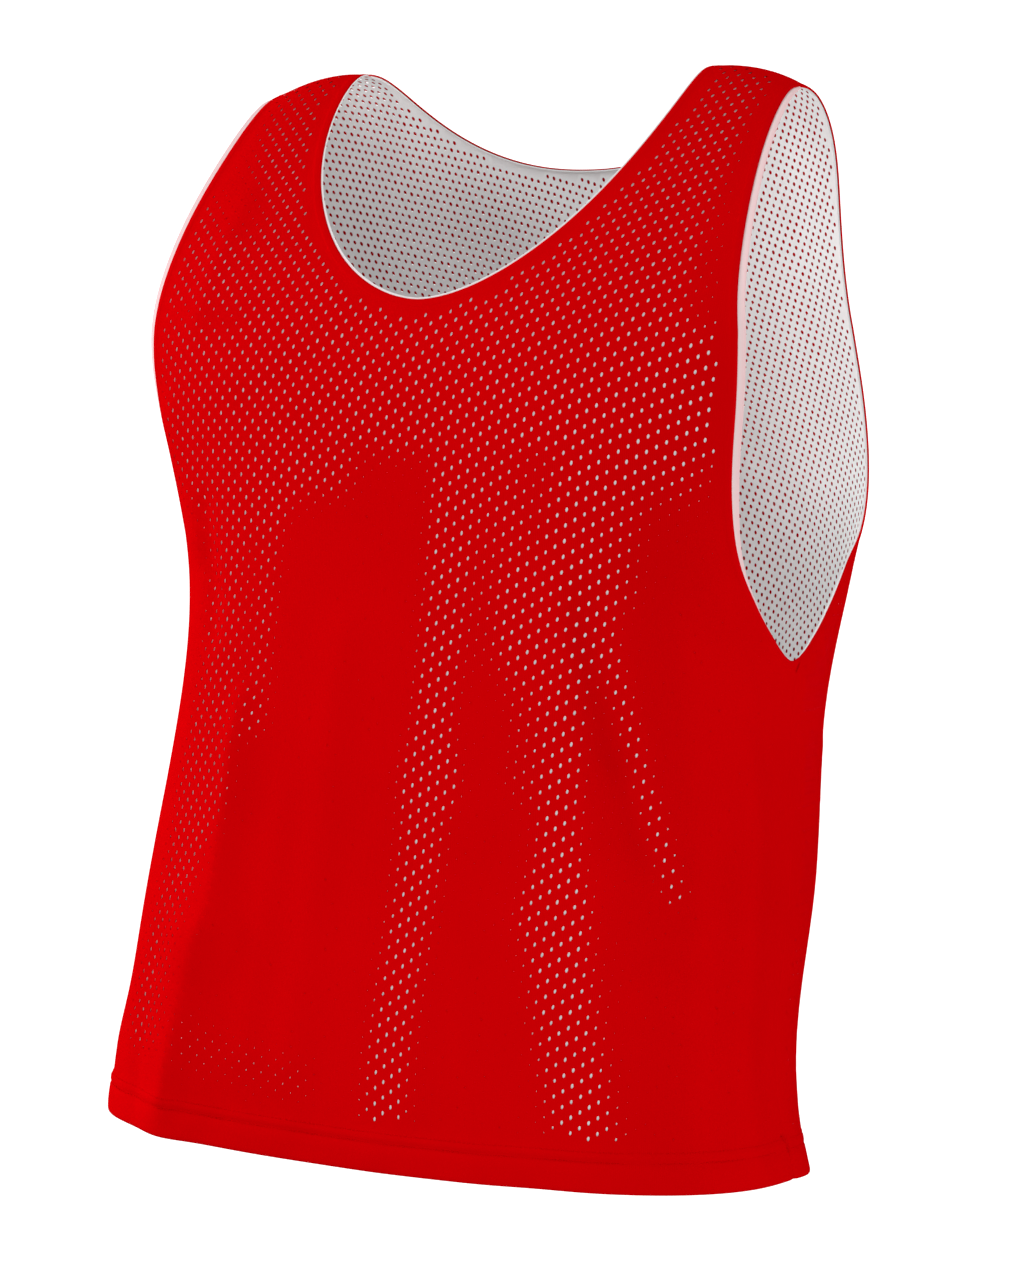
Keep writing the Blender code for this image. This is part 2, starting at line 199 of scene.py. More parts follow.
@dataclass(frozen=True)
class Figure:
    """The figure that fills the jersey: a table of rings by height over the hem level."""

    heights: tuple[float, ...] = (-30.0, 58.0, 155.0, 252.0, 330.0, 407.0, 485.0, 553.0, 631.0)
    half_widths: tuple[float, ...] = (226.0, 208.0, 202.5, 190.5, 195.0, 216.5, 240.0, 249.0, 256.5)
    front_depths: tuple[float, ...] = (104.0, 107.0, 117.0, 132.5, 144.0, 137.0, 102.0, 63.0, 28.5)
    back_depths: tuple[float, ...] = (82.0, 98.0, 117.0, 133.5, 139.5, 127.0, 104.5, 80.5, 62.0)
    centres: tuple[float, ...] = (-82.0, -85.5, -60.5, -35.5, -13.0, -13.5, -29.5, -20.5, 6.5)
    front_round: float = 2.9
    back_round: float = 2.5
    neck_half: float = 118.0
    arm_half: float = 176.0
    neck_top: float = 621.0
    shoulder_slope: float = 0.215
    shoulder_rise: float = 4.5
    front_cap: float = 85.0
    back_cap: float = 120.0
    cap_round: float = 2.6
    ring_top: float = 470.0
    hold_height: float = 616.0
    quarter_points: int = 500

    def depth(self, side: Side) -> Curve:
        """Depth of one half by height."""
        table = self.front_depths if side is Side.FRONT else self.back_depths
        return spline(self.heights, table)

    def roundness(self, side: Side) -> float:
        """Exponent of one half of the rings."""
        return self.front_round if side is Side.FRONT else self.back_round

    def cap(self, side: Side) -> float:
        """Height over which one half rounds over the shoulder."""
        return self.front_cap if side is Side.FRONT else self.back_cap

    def quarter(self, height: float, side: Side) -> np.ndarray:
        """Quarter ring at a height, from the centre line to the side.

        Args:
            height: Height over the hem level.
            side: The half it lies on.

        Returns:
            Its points, x and y, one a row.
        """
        angle = np.linspace(0.0, math.pi / 2, self.quarter_points)
        power = 2.0 / self.roundness(side)
        x = spline(self.heights, self.half_widths)(height) * np.sin(angle) ** power
        reach = side.value * self.depth(side)(height)
        y = spline(self.heights, self.centres)(height) + reach * np.cos(angle) ** power
        return np.stack((x, y), 1)

    def half_ring(self, height: float, side: Side) -> np.ndarray:
        """Half ring from one centre line round to the other."""
        return np.concatenate((self.quarter(height, side), self.quarter(height, side.other)[-2::-1]))

    def seam(self, height: float, side: Side) -> float:
        """Distance round from a centre line to the side seam."""
        return float(along(self.quarter(height, side))[-1])

    def shoulder(self, x: np.ndarray) -> np.ndarray:
        """Height of the shoulder line.

        Args:
            x: Distances from the centre line.

        Returns:
            The height at each of them.
        """
        share = np.clip((np.abs(x) - self.neck_half) / (self.arm_half - self.neck_half), 0.0, 1.0)
        fall = self.shoulder_slope * (np.abs(x) - self.neck_half)
        return self.neck_top - fall + 4.0 * self.shoulder_rise * share * (1.0 - share)


# The tables of soft bands have these columns: around0, up0, around1, up1, half_width, height.

# The main folds, which the solids have too.
FOLDS: dict[Side, tuple[SoftBand, ...]] = {
    Side.FRONT: (
        SoftBand(-104.0, 236.0, -126.0, 120.0, 19.0, 3.6),
        SoftBand(-126.0, 120.0, -146.0, -10.0, 21.0, 5.2),
        SoftBand(-148.0, 372.0, -136.0, 300.0, 8.0, -2.6),
        SoftBand(-184.0, 425.0, -160.0, 355.0, 12.0, 2.6),
        SoftBand(120.0, 322.0, 146.0, 241.0, 12.0, -2.8),
        SoftBand(146.0, 241.0, 160.0, 190.0, 12.0, -2.4),
        SoftBand(232.0, 230.0, 240.0, 10.0, 12.0, 2.2),
        SoftBand(86.0, 170.0, 112.0, -10.0, 26.0, -2.2),
        SoftBand(18.0, 300.0, 10.0, 20.0, 30.0, 1.6),
        SoftBand(-214.0, 50.0, -226.0, -10.0, 30.0, 3.6),
    ),
    Side.BACK: (
        SoftBand(-118.0, 250.0, -140.0, -10.0, 20.0, 4.6),
        SoftBand(-60.0, 330.0, -52.0, 120.0, 24.0, -2.4),
        SoftBand(34.0, 240.0, 44.0, -10.0, 26.0, 3.4),
        SoftBand(126.0, 300.0, 150.0, 90.0, 18.0, -3.0),
        SoftBand(-176.0, 330.0, -150.0, 262.0, 10.0, 2.2),
        SoftBand(168.0, 334.0, 142.0, 270.0, 10.0, 2.4),
        SoftBand(226.0, 352.0, 244.0, 306.0, 16.0, -2.8),
        SoftBand(0.0, 470.0, 6.0, 380.0, 34.0, -1.8),
    ),
}

# Smaller creases of the dressed cloth, over and above the folds.
CREASES: dict[Side, tuple[SoftBand, ...]] = {
    Side.FRONT: (
        SoftBand(-150.0, 340.0, -128.0, 318.0, 5.0, -0.9),
        SoftBand(-168.0, 300.0, -150.0, 250.0, 7.0, 0.8),
        SoftBand(-120.0, 96.0, -128.0, 24.0, 7.0, -1.0),
        SoftBand(-160.0, 120.0, -172.0, 26.0, 8.0, -0.9),
        SoftBand(-66.0, 210.0, -80.0, 60.0, 10.0, 0.7),
        SoftBand(60.0, 120.0, 74.0, 26.0, 9.0, 0.8),
        SoftBand(138.0, 150.0, 156.0, 26.0, 9.0, 0.9),
        SoftBand(176.0, 300.0, 196.0, 150.0, 10.0, 0.9),
        SoftBand(206.0, 180.0, 214.0, 26.0, 8.0, -1.1),
        SoftBand(196.0, 330.0, 226.0, 276.0, 7.0, 0.8),
        SoftBand(148.0, 560.0, 152.0, 470.0, 9.0, -0.7),
        SoftBand(-148.0, 560.0, -156.0, 480.0, 9.0, 0.8),
        SoftBand(-40.0, 470.0, -110.0, 430.0, 9.0, -0.5),
        SoftBand(122.0, 322.0, 168.0, 176.0, 10.0, -1.7),
        SoftBand(104.0, 336.0, 132.0, 196.0, 9.0, 1.2),
        SoftBand(-30.0, 300.0, -46.0, 60.0, 14.0, 1.1),
        SoftBand(44.0, 200.0, 36.0, 40.0, 12.0, 0.9),
        SoftBand(176.0, 122.0, 234.0, 98.0, 7.0, -1.0),
        SoftBand(170.0, 98.0, 228.0, 78.0, 6.0, 0.8),
        SoftBand(-100.0, 262.0, -112.0, 128.0, 7.0, 1.6),
        SoftBand(-112.0, 128.0, -138.0, 30.0, 8.0, 1.8),
        SoftBand(224.0, 250.0, 232.0, 60.0, 9.0, 1.2),
    ),
    Side.BACK: (
        SoftBand(-20.0, 200.0, -8.0, 26.0, 10.0, -1.0),
        SoftBand(90.0, 180.0, 98.0, 26.0, 9.0, 1.0),
        SoftBand(-176.0, 200.0, -190.0, 26.0, 9.0, -1.0),
        SoftBand(188.0, 240.0, 204.0, 40.0, 9.0, 1.0),
        SoftBand(-84.0, 420.0, -120.0, 360.0, 12.0, 0.9),
        SoftBand(80.0, 430.0, 124.0, 372.0, 12.0, 0.8),
        SoftBand(-30.0, 520.0, 20.0, 500.0, 9.0, -0.6),
        SoftBand(150.0, 560.0, 156.0, 480.0, 9.0, 0.7),
        SoftBand(-104.0, 240.0, -122.0, 40.0, 8.0, 1.4),
        SoftBand(40.0, 320.0, 52.0, 90.0, 12.0, -1.2),
        SoftBand(136.0, 280.0, 152.0, 110.0, 9.0, -1.5),
        SoftBand(-226.0, 240.0, -232.0, 60.0, 9.0, 1.2),
    ),
}


class ClothForm:
    """Turns places on one half of the flat cloth into places in space."""

    STEP: ClassVar[float] = 4.0
    REACH: ClassVar[float] = 332.0
    LOW: ClassVar[float] = -30.0
    HIGH: ClassVar[float] = 760.0
    RING_STEP: ClassVar[float] = 5.0
    CHEST_ROWS: ClassVar[int] = 14
    CAP_ROWS: ClassVar[int] = 26
    SEAM_KNOTS: ClassVar[int] = 6
    UPPER_COLUMNS: ClassVar[int] = 60
    CREASE_DEPTH: ClassVar[float] = 1.5
    SEAM_RANGE: ClassVar[tuple[float, float]] = (-30.0, 400.0)
    SEAM_TOP: ClassVar[float] = 300.0
    SEAM_FADE: ClassVar[float] = 14.0
    SHOULDER_FADE: ClassVar[float] = 30.0
    NEAR: ClassVar[float] = 1.0

    def __init__(self, figure: Figure, side: Side) -> None:
        """Follow the columns of the knit up the figure.

        Args:
            figure: The figure that fills the jersey.
            side: The half to form.
        """
        self.figure = figure
        self.side = side
        self.rounds = np.arange(0.0, self.REACH + 0.1, self.STEP)
        self.space, self.up = self._columns()
        self.top = self.up[-1]
        self.grid = self._regular()
        knots = figure.heights[:self.SEAM_KNOTS]
        self.seam_by_up = spline(knots, [figure.seam(h, side) for h in knots])

    def _columns(self) -> tuple[np.ndarray, np.ndarray]:
        """Follow each column of the knit up the body and over the shoulder.

        Returns:
            Places in space, a row for each level and a column for each distance round, and
            the distance up the cloth to each of them.
        """
        figure, side, rows = self.figure, self.side, []
        for level in np.arange(self.LOW, figure.ring_top + 0.1, self.RING_STEP):
            ring = figure.half_ring(float(level), side)
            run = along(ring)
            x, y = (np.interp(self.rounds, run, ring[:, k]) for k in range(2))
            rows.append(np.stack((x, y, np.full(len(x), level)), 1))
        x, cap = rows[-1][:, 0], figure.cap(side)
        self.upper_x = x
        top = figure.shoulder(x)
        for share in np.linspace(0.0, 1.0, self.CHEST_ROWS)[1:]:
            rows.append(self._over(x, figure.ring_top + share * (top - cap - figure.ring_top), 1.0))
        power = 2.0 / figure.cap_round
        for turn in np.linspace(0.0, math.pi / 2, self.CAP_ROWS)[1:]:
            height = top - cap * (1.0 - math.sin(turn) ** power)
            rows.append(self._over(x, height, math.cos(turn) ** power))
        space = np.array(rows)
        steps = np.linalg.norm(np.diff(space, axis=0), axis=2)
        up = np.concatenate((np.zeros((1, len(x))), np.cumsum(steps, 0)))
        return space, up - up[int(round(-self.LOW / self.RING_STEP))]

    def _over(self, x: np.ndarray, height: np.ndarray, keep: float) -> np.ndarray:
        """Places over the upper body, where the rings give way to columns.

        Args:
            x: Distance of each column from the centre line.
            height: Height of each column here.
            keep: Share of the body's depth that is left.

        Returns:
            The places, one a row.
        """
        figure, side = self.figure, self.side
        power = figure.roundness(side)
        width = spline(figure.heights, figure.half_widths)(height)
        fill = np.clip(1.0 - np.abs(x / width) ** power, 0.0, 1.0) ** (1.0 / power)
        reach = side.value * figure.depth(side)(height) * fill * keep
        return np.stack((x, spline(figure.heights, figure.centres)(height) + reach, height), 1)

    def _regular(self) -> np.ndarray:
        """The columns resampled at even lengths up the cloth.

        Returns:
            Places in space, by distance round and distance up.
        """
        ups = np.arange(self.LOW, self.HIGH, self.STEP)
        grid = np.empty((len(self.rounds), len(ups), 3))
        for i in range(len(self.rounds)):
            up, place = self.up[:, i], self.space[:, i]
            for axis in range(3):
                grid[i, :, axis] = np.interp(ups, up, place[:, axis])
            beyond = ups > up[-1]
            way = (place[-1] - place[-2]) / (up[-1] - up[-2])
            grid[i, beyond] = place[-1] + (ups[beyond] - up[-1])[:, None] * way
        return grid

    def form(self, flat: np.ndarray) -> np.ndarray:
        """Places in space of flat places, before folds.

        Args:
            flat: Places on the flat cloth, distance round and distance up.

        Returns:
            The places, one a row.
        """
        mirror = np.where(flat[:, 0] < 0.0, -1.0, 1.0)
        u = np.clip(np.abs(flat[:, 0]), 0.0, self.REACH - 2 * self.STEP) / self.STEP
        v = np.clip((flat[:, 1] - self.LOW) / self.STEP, 1.0, self.grid.shape[1] - 3.001)
        i, j = np.floor(u).astype(int), np.floor(v).astype(int)
        across, upward = self._weights(u - i), self._weights(v - j)
        out = np.zeros((len(flat), 3))
        for p in range(4):
            column = i + p - 1
            flip = np.where(column < 0, -1.0, 1.0)
            for q in range(4):
                sample = self.grid[np.abs(column), j + q - 1]
                sample[:, 0] *= flip
                out += (across[p] * upward[q])[:, None] * sample
        out[:, 0] *= mirror
        return out

    @staticmethod
    def _weights(a: np.ndarray) -> tuple[np.ndarray, ...]:
        """Weights of four neighbours for a smooth curve through a regular table."""
        return (-0.5 * a + a ** 2 - 0.5 * a ** 3, 1.0 - 2.5 * a ** 2 + 1.5 * a ** 3,
                0.5 * a + 2.0 * a ** 2 - 1.5 * a ** 3, -0.5 * a ** 2 + 0.5 * a ** 3)

    def fold(self, flat: np.ndarray) -> np.ndarray:
        """Height of folds and creases, which die out at the seams.

        Args:
            flat: Places on the flat cloth, distance round and distance up.

        Returns:
            The height of each over the plain form.
        """
        creases = self.CREASE_DEPTH * soft_bands(flat, CREASES[self.side])
        height = soft_bands(flat, FOLDS[self.side]) + creases
        gap = self.seam_by_up(np.clip(flat[:, 1], *self.SEAM_RANGE)) - np.abs(flat[:, 0])
        low = np.where(flat[:, 1] > self.SEAM_TOP, 1.0, np.clip(gap / self.SEAM_FADE, 0.0, 1.0))
        return height * low * np.clip(self.below_shoulder(flat) / self.SHOULDER_FADE, 0.0, 1.0)

    def below_shoulder(self, flat: np.ndarray) -> np.ndarray:
        """Distance of flat places below the shoulder seam."""
        return np.interp(np.abs(flat[:, 0]), self.rounds, self.top) - flat[:, 1]

    def place(self, flat: np.ndarray, depth: np.ndarray) -> np.ndarray:
        """Places in space of flat places at a depth into the cloth.

        Args:
            flat: Places on the flat cloth, distance round and distance up.
            depth: Depth of each under the outer face, outwards negative.

        Returns:
            The places in the frame of the model, in millimetres.
        """
        across = self.form(flat + (self.NEAR, 0.0)) - self.form(flat - (self.NEAR, 0.0))
        rising = self.form(flat + (0.0, self.NEAR)) - self.form(flat - (0.0, self.NEAR))
        out = np.cross(across, rising)
        out *= -self.side.value / np.linalg.norm(out, axis=1)[:, None]
        place = self.form(flat) + out * (self.fold(flat) - depth)[:, None]
        place[:, 2] -= self.figure.hold_height
        return place

    def up_at(self, around: float, height: float) -> float:
        """Distance up the cloth to a height, on one column.

        Args:
            around: How far round the column stands.
            height: Height over the hem level.

        Returns:
            The distance up the cloth.
        """
        i = min(int(abs(around) / self.STEP), len(self.rounds) - 2)
        share = abs(around) / self.STEP - i
        low, high = (np.interp(height, self.space[:, k, 2], self.up[:, k]) for k in (i, i + 1))
        return float(low * (1 - share) + high * share)

    def round_at(self, x: float, height: float) -> float:
        """Distance round to a place at a height.

        Args:
            x: Distance of the place from the centre line.
            height: Height over the hem level.

        Returns:
            The distance round the cloth.
        """
        if height >= self.figure.ring_top:
            few = self.UPPER_COLUMNS
            return float(np.interp(x, self.upper_x[:few], self.rounds[:few]))
        ring, half = self.figure.half_ring(height, self.side), self.figure.quarter_points - 1
        return float(np.interp(x, ring[:half, 0], along(ring)[:half]))


@dataclass(frozen=True)
class PanelEdges:
    """The cut edges of a panel, by the names of its sides.

    A neck line is its lowest height, its roundness across and its roundness up. An armhole
    is a line of points, distance round and height, from the side seam to the shoulder.
    """

    neck_lines: tuple[tuple[float, float, float], ...] = ((487.5, 1.8, 1.8), (564.0, 2.2, 1.33))
    armhole_seam: float = 285.6
    front_armhole: tuple[tuple[float, float], ...] = (
        (267.5, 283.4), (260.5, 285.8), (252.3, 290.9), (242.8, 298.6), (232.0, 308.4),
        (222.5, 319.4), (214.2, 331.0), (207.4, 345.0), (203.0, 362.0), (200.5, 393.0),
        (201.5, 439.0), (196.5, 492.0), (188.5, 542.0), (182.0, 578.5))
    back_armhole: tuple[tuple[float, float], ...] = (
        (262.8, 289.6), (256.0, 295.0), (248.6, 301.8), (241.6, 310.2), (234.2, 320.0),
        (225.2, 334.0), (211.4, 359.0), (197.0, 393.0), (188.5, 439.0), (184.0, 492.0),
        (184.0, 542.0), (183.5, 578.5))
    hem_square: float = 7.8
    hem_lean: float = -9.0
    seam_half_gap: float = -0.06
    hem_points: int = 200
    side_points: int = 90
    arm_points: int = 400
    neck_points: int = 160
    shoulder_points: int = 30

    def armhole(self, form: ClothForm) -> np.ndarray:
        """Armhole edge from the side seam up to the shoulder.

        Args:
            form: The half that the panel covers.

        Returns:
            The edge, distance round and distance up, one point a row.
        """
        figure, side = form.figure, form.side
        rows = self.front_armhole if side is Side.FRONT else self.back_armhole
        start = (figure.seam(self.armhole_seam, side), self.armhole_seam)
        top_round = form.round_at(figure.arm_half, figure.ring_top)
        points = np.array((start,) + rows + ((top_round, float(figure.shoulder(figure.arm_half))),))
        run = along(points)
        at = np.linspace(0.0, run[-1], self.arm_points)
        line = np.stack([spline(run, points[:, k])(at) for k in range(2)], 1)
        line[:, 1] = [form.up_at(s, z) for s, z in line]
        line[-1] = (top_round, np.interp(top_round, form.rounds, form.top))
        return line

    def neck(self, form: ClothForm) -> np.ndarray:
        """Neck edge from the centre line up to the shoulder.

        Args:
            form: The half that the panel covers.

        Returns:
            The edge, distance round and distance up, one point a row.
        """
        figure = form.figure
        low, across, rise = self.neck_lines[0 if form.side is Side.FRONT else 1]
        line = []
        for turn in np.linspace(0.0, math.pi / 2, self.neck_points):
            x = figure.neck_half * math.sin(turn) ** (2.0 / across)
            height = figure.neck_top - (figure.neck_top - low) * math.cos(turn) ** (2.0 / rise)
            s = form.round_at(x, height)
            line.append((s, form.up_at(s, height)))
        line = np.array(line)
        line[-1, 1] = np.interp(line[-1, 0], form.rounds, form.top)
        return line

    def hem_up(self, around: np.ndarray, form: ClothForm) -> np.ndarray:
        """Height of the hem edge this far round."""
        share = around / form.figure.seam(0.0, form.side)
        return self.hem_square * share ** 2 + self.hem_lean * share

    def lines(self, form: ClothForm) -> list[np.ndarray]:
        """The panel's eight edges in order round it, from the hem's left end.

        Args:
            form: The half that the panel covers.

        Returns:
            The hem, side, armhole, shoulder, neck, shoulder, armhole and side, each a line.
        """
        figure, side = form.figure, form.side
        seam = figure.seam(0.0, side)
        across = np.linspace(-seam, seam, self.hem_points)
        hem = np.stack((across, self.hem_up(across, form)), 1)
        sides = []
        for mirror, start in ((1.0, hem[-1, 1]), (-1.0, hem[0, 1])):
            heights = np.linspace(start, self.armhole_seam, self.side_points)
            round_to = np.array([figure.seam(float(h), side) for h in heights])
            up = np.array([form.up_at(s, float(h)) for s, h in zip(round_to, heights)])
            sides.append(np.stack((mirror * (round_to - self.seam_half_gap), up), 1))
        arm, neck = self.armhole(form), self.neck(form)
        top_line = np.linspace(arm[-1, 0], neck[-1, 0], self.shoulder_points)
        top = np.stack((top_line, np.interp(top_line, form.rounds, form.top)), 1)
        top[:, 1] -= self.seam_half_gap
        arm[-1], neck[-1] = top[0], top[-1]
        flip = np.array((-1.0, 1.0))
        hem[-1], hem[0] = sides[0][0], sides[1][0]
        left_arm = arm * flip
        arm[0], left_arm[0] = sides[0][-1], sides[1][-1]
        whole_neck = np.concatenate((neck[::-1], (neck * flip)[1:]))
        far_top = (top * flip)[::-1]
        return [hem, sides[0], arm, top, whole_neck, far_top, left_arm[::-1], sides[1][::-1]]


class Edge(Enum):
    """The eight edges of a panel, in order: number, depth of the turned or seamed band."""

    HEM = (0, 25.0)
    SIDE_RIGHT = (1, 3.0)
    ARM_RIGHT = (2, 4.8)
    SHOULDER_RIGHT = (3, 4.0)
    NECK = (4, 4.8)
    SHOULDER_LEFT = (5, 4.0)
    ARM_LEFT = (6, 4.8)
    SIDE_LEFT = (7, 3.0)

    @property
    def number(self) -> int:
        """Place of the edge in the order round the panel."""
        return self.value[0]

    @property
    def depth(self) -> float:
        """How far in from the edge its band reaches."""
        return self.value[1]


ARMS = (Edge.ARM_RIGHT, Edge.ARM_LEFT)
SIDES = (Edge.SIDE_RIGHT, Edge.SIDE_LEFT)
SEAMS = (Edge.SIDE_RIGHT, Edge.SIDE_LEFT, Edge.SHOULDER_RIGHT, Edge.SHOULDER_LEFT)


def on_edge(numbers: np.ndarray, edges: tuple[Edge, ...]) -> np.ndarray:
    """Which points belong to any of some edges."""
    return np.isin(numbers, [edge.number for edge in edges])


def map_cloth(mesh: bpy.types.Mesh, flat: np.ndarray) -> None:
    """Give a mesh the UV map that its finish reads, in metres of flat cloth.

    Args:
        mesh: The mesh of a piece.
        flat: The place of each of its points on the flat cloth, in millimetres.
    """
    layer = mesh.uv_layers.new(name=UV_MAP)
    corner = np.empty(len(mesh.loops), int)
    mesh.loops.foreach_get("vertex_index", corner)
    layer.data.foreach_set("uv", (flat[corner] * MM).astype(np.float32).ravel())


class Role(Enum):
    """What a point of a panel belongs to, while the panel is made."""

    NET = 1
    RIM = 2
    BAND = 3


@dataclass(frozen=True)
class Marks:
    """Notes on each point of a panel while it is made: share of its band, edge number, role."""

    band: bmesh.types.BMLayerItem
    edge: bmesh.types.BMLayerItem
    role: bmesh.types.BMLayerItem


@dataclass(frozen=True)
class Net:
    """The lattice of holes in one layer of the knit, as it hangs on the flat cloth.

    A staggered net has each row of holes half a pitch along from the last. The rows droop
    towards the wearer's left, by a slope that grows across the cloth, and the columns lean.
    """

    pitch: float
    row: float
    staggered: bool
    hole_half_width: float
    hole_half_height: float
    tilt: float
    wall: float
    slope: float
    slope_growth: float
    lean: float
    upper_lean: float = 0.0
    upper_from: float = 360.0
    pitch_growth: float = 0.0001
    shift: tuple[float, float] = (0.0, 0.0)
    jitter: float = 0.06
    middle: float = 300.0
    upper_ease: float = 60.0
    reach: float = 600.0
    settling: int = 14

    def to_flat(self, lattice: np.ndarray) -> np.ndarray:
        """Places on the flat cloth of places in the lattice of cells.

        Args:
            lattice: Places counted in cells along the two ways of the net.

        Returns:
            Distance round and distance up for each place.
        """
        first, second = lattice[:, 0], lattice[:, 1]
        if self.staggered:
            first, second = (first - second) / 2.0, (first + second) / 2.0
        u = self.pitch * np.expm1(self.pitch_growth * first) / self.pitch_growth + self.shift[0]
        v = second * self.row + self.middle + self.shift[1]
        around, up = u.copy(), v.copy()
        for _ in range(self.settling):
            up = v - self.slope * around - self.slope_growth * around ** 2
            rise = np.maximum(up - self.upper_from, 0.0)
            upper = self.upper_lean * rise ** 2 / (rise + self.upper_ease)
            around = (u + self.lean * (up - self.middle) + upper).clip(-self.reach, self.reach)
        return np.stack((around, up), 1)

    def turn(self, local: np.ndarray) -> np.ndarray:
        """Angle round a hole of places in its cell.

        Args:
            local: Places counted in cells from the middle of the hole.

        Returns:
            The angle of each, from the line across the cloth.
        """
        if self.staggered:
            return np.arctan2(local[:, 0] + local[:, 1], local[:, 0] - local[:, 1])
        return np.arctan2(local[:, 1], local[:, 0])


NETS: dict[tuple[Layer, Side], Net] = {
    (Layer.OUTER, Side.FRONT): Net(
        pitch=10.5, row=8.8, staggered=True, hole_half_width=0.8, hole_half_height=1.36, tilt=-0.2,
        wall=0.16, slope=0.114, slope_growth=0.00048, lean=0.035, upper_lean=0.085),
    (Layer.INNER, Side.FRONT): Net(
        pitch=5.25, row=4.4, staggered=False, hole_half_width=0.82, hole_half_height=1.15, tilt=-0.2,
        wall=0.0, slope=0.114, slope_growth=0.00048, lean=0.035, upper_lean=0.085, shift=(-0.45, 0.0)),
    (Layer.OUTER, Side.BACK): Net(
        pitch=11.2, row=9.6, staggered=True, hole_half_width=1.02, hole_half_height=1.6, tilt=0.3,
        wall=0.16, slope=0.32, slope_growth=0.00085, lean=0.53, pitch_growth=0.008),
    (Layer.INNER, Side.BACK): Net(
        pitch=5.6, row=4.8, staggered=False, hole_half_width=0.9, hole_half_height=1.3, tilt=0.35,
        wall=0.0, slope=0.32, slope_growth=0.00085, lean=0.53, pitch_growth=0.004, shift=(1.2, 0.0)),
}

# Patches of slack cloth over the chest, where the holes draw in.
CLOSED: dict[Side, tuple[SoftBand, ...]] = {
    Side.FRONT: (
        SoftBand(178.0, 640.0, 182.0, 490.0, 16.0, 0.8),
        SoftBand(-174.0, 584.0, -144.0, 550.0, 20.0, 0.85),
        SoftBand(-178.0, 486.0, -128.0, 480.0, 9.0, 0.6),
        SoftBand(-176.0, 660.0, -168.0, 600.0, 9.0, 0.8),
        SoftBand(-190.0, 440.0, -196.0, 400.0, 10.0, 0.7),
    ),
    Side.BACK: (
        SoftBand(-20.0, 470.0, 10.0, 430.0, 16.0, 0.6),
        SoftBand(-150.0, 600.0, -154.0, 520.0, 11.0, 0.7),
        SoftBand(152.0, 590.0, 158.0, 510.0, 11.0, 0.7),
        SoftBand(60.0, 520.0, 100.0, 500.0, 9.0, 0.5),
    ),
}

# Strips of taut cloth below the chest, where the holes stand open.
OPEN: dict[Side, tuple[SoftBand, ...]] = {
    Side.FRONT: (
        SoftBand(-124.0, 372.0, -130.0, 212.0, 23.0, 1.05),
        SoftBand(-134.0, 212.0, -166.0, 74.0, 25.0, 1.05),
        SoftBand(-86.0, 400.0, -88.0, 250.0, 14.0, 0.62),
        SoftBand(-170.0, 396.0, -46.0, 398.0, 26.0, 0.85),
        SoftBand(36.0, 410.0, 34.0, 220.0, 15.5, 1.05),
        SoftBand(33.0, 220.0, 18.0, 30.0, 18.0, 0.95),
        SoftBand(66.0, 404.0, 84.0, 306.0, 28.0, 0.72),
        SoftBand(138.0, 404.0, 140.0, 330.0, 15.0, 0.6),
        SoftBand(86.0, 330.0, 88.0, 220.0, 13.0, 0.42),
        SoftBand(112.0, 400.0, 114.0, 150.0, 15.0, 1.05),
        SoftBand(114.0, 150.0, 141.0, 28.0, 22.0, 1.05),
        SoftBand(124.0, 330.0, 182.0, 162.0, 9.0, 0.72),
        SoftBand(168.0, 430.0, 166.0, 404.0, 28.0, 0.85),
        SoftBand(-112.0, 60.0, -44.0, 48.0, 24.0, 0.42),
    ),
    Side.BACK: (
        SoftBand(-150.0, 400.0, -146.0, 250.0, 20.0, 1.0),
        SoftBand(-146.0, 250.0, -172.0, 60.0, 22.0, 0.9),
        SoftBand(-60.0, 400.0, -70.0, 180.0, 17.0, 1.0),
        SoftBand(-70.0, 180.0, -84.0, 30.0, 15.0, 0.7),
        SoftBand(6.0, 400.0, -4.0, 240.0, 15.0, 0.8),
        SoftBand(84.0, 400.0, 92.0, 200.0, 19.0, 1.0),
        SoftBand(92.0, 200.0, 116.0, 28.0, 17.0, 1.0),
        SoftBand(164.0, 404.0, 188.0, 160.0, 14.0, 0.9),
        SoftBand(20.0, 70.0, 60.0, 50.0, 22.0, 0.5),
    ),
}

# Distance up from the hem past which the net is open all over.
OPEN_FROM = {Side.FRONT: 396.0, Side.BACK: 388.0}


@dataclass(frozen=True)
class HoleSizes:
    """How wide each hole stands: open where the cloth is taut, and nearly closed elsewhere."""

    least: float = 0.12
    closing: float = 0.8
    upper_lead: float = 6.0
    upper_ease: float = 24.0
    open_gain: float = 1.3
    open_floor: float = 0.14
    closed_gain: float = 1.25
    closed_floor: float = 0.12
    chance: tuple[float, float, float] = (12.9898, 78.233, 43758.5453)

    def uneven(self, cell: np.ndarray, jitter: float) -> np.ndarray:
        """Slightly uneven sizes, one for each hole.

        Args:
            cell: Middle of each cell, counted in cells.
            jitter: How far a size strays from one.

        Returns:
            The share of its full size that each hole has.
        """
        across, rising, spread = self.chance
        chance = np.sin(cell[:, 0] * across + cell[:, 1] * rising) * spread
        return 1.0 + jitter * (2.0 * (chance - np.floor(chance)) - 1.0)

    def opened(self, centre: np.ndarray, side: Side) -> np.ndarray:
        """How far the red net stands open.

        Args:
            centre: Middle of each hole on the flat cloth.
            side: The half it lies on.

        Returns:
            The share of its full size that each hole has.
        """
        upper = smooth_step((centre[:, 1] - OPEN_FROM[side] + self.upper_lead) / self.upper_ease)
        taut = smooth_step(soft_bands(centre, OPEN[side]) * self.open_gain - self.open_floor)
        slack = smooth_step(soft_bands(centre, CLOSED[side]) * self.closed_gain - self.closed_floor)
        opened = np.maximum(upper, taut) * (1.0 - self.closing * slack)
        return self.least + (1.0 - self.least) * opened


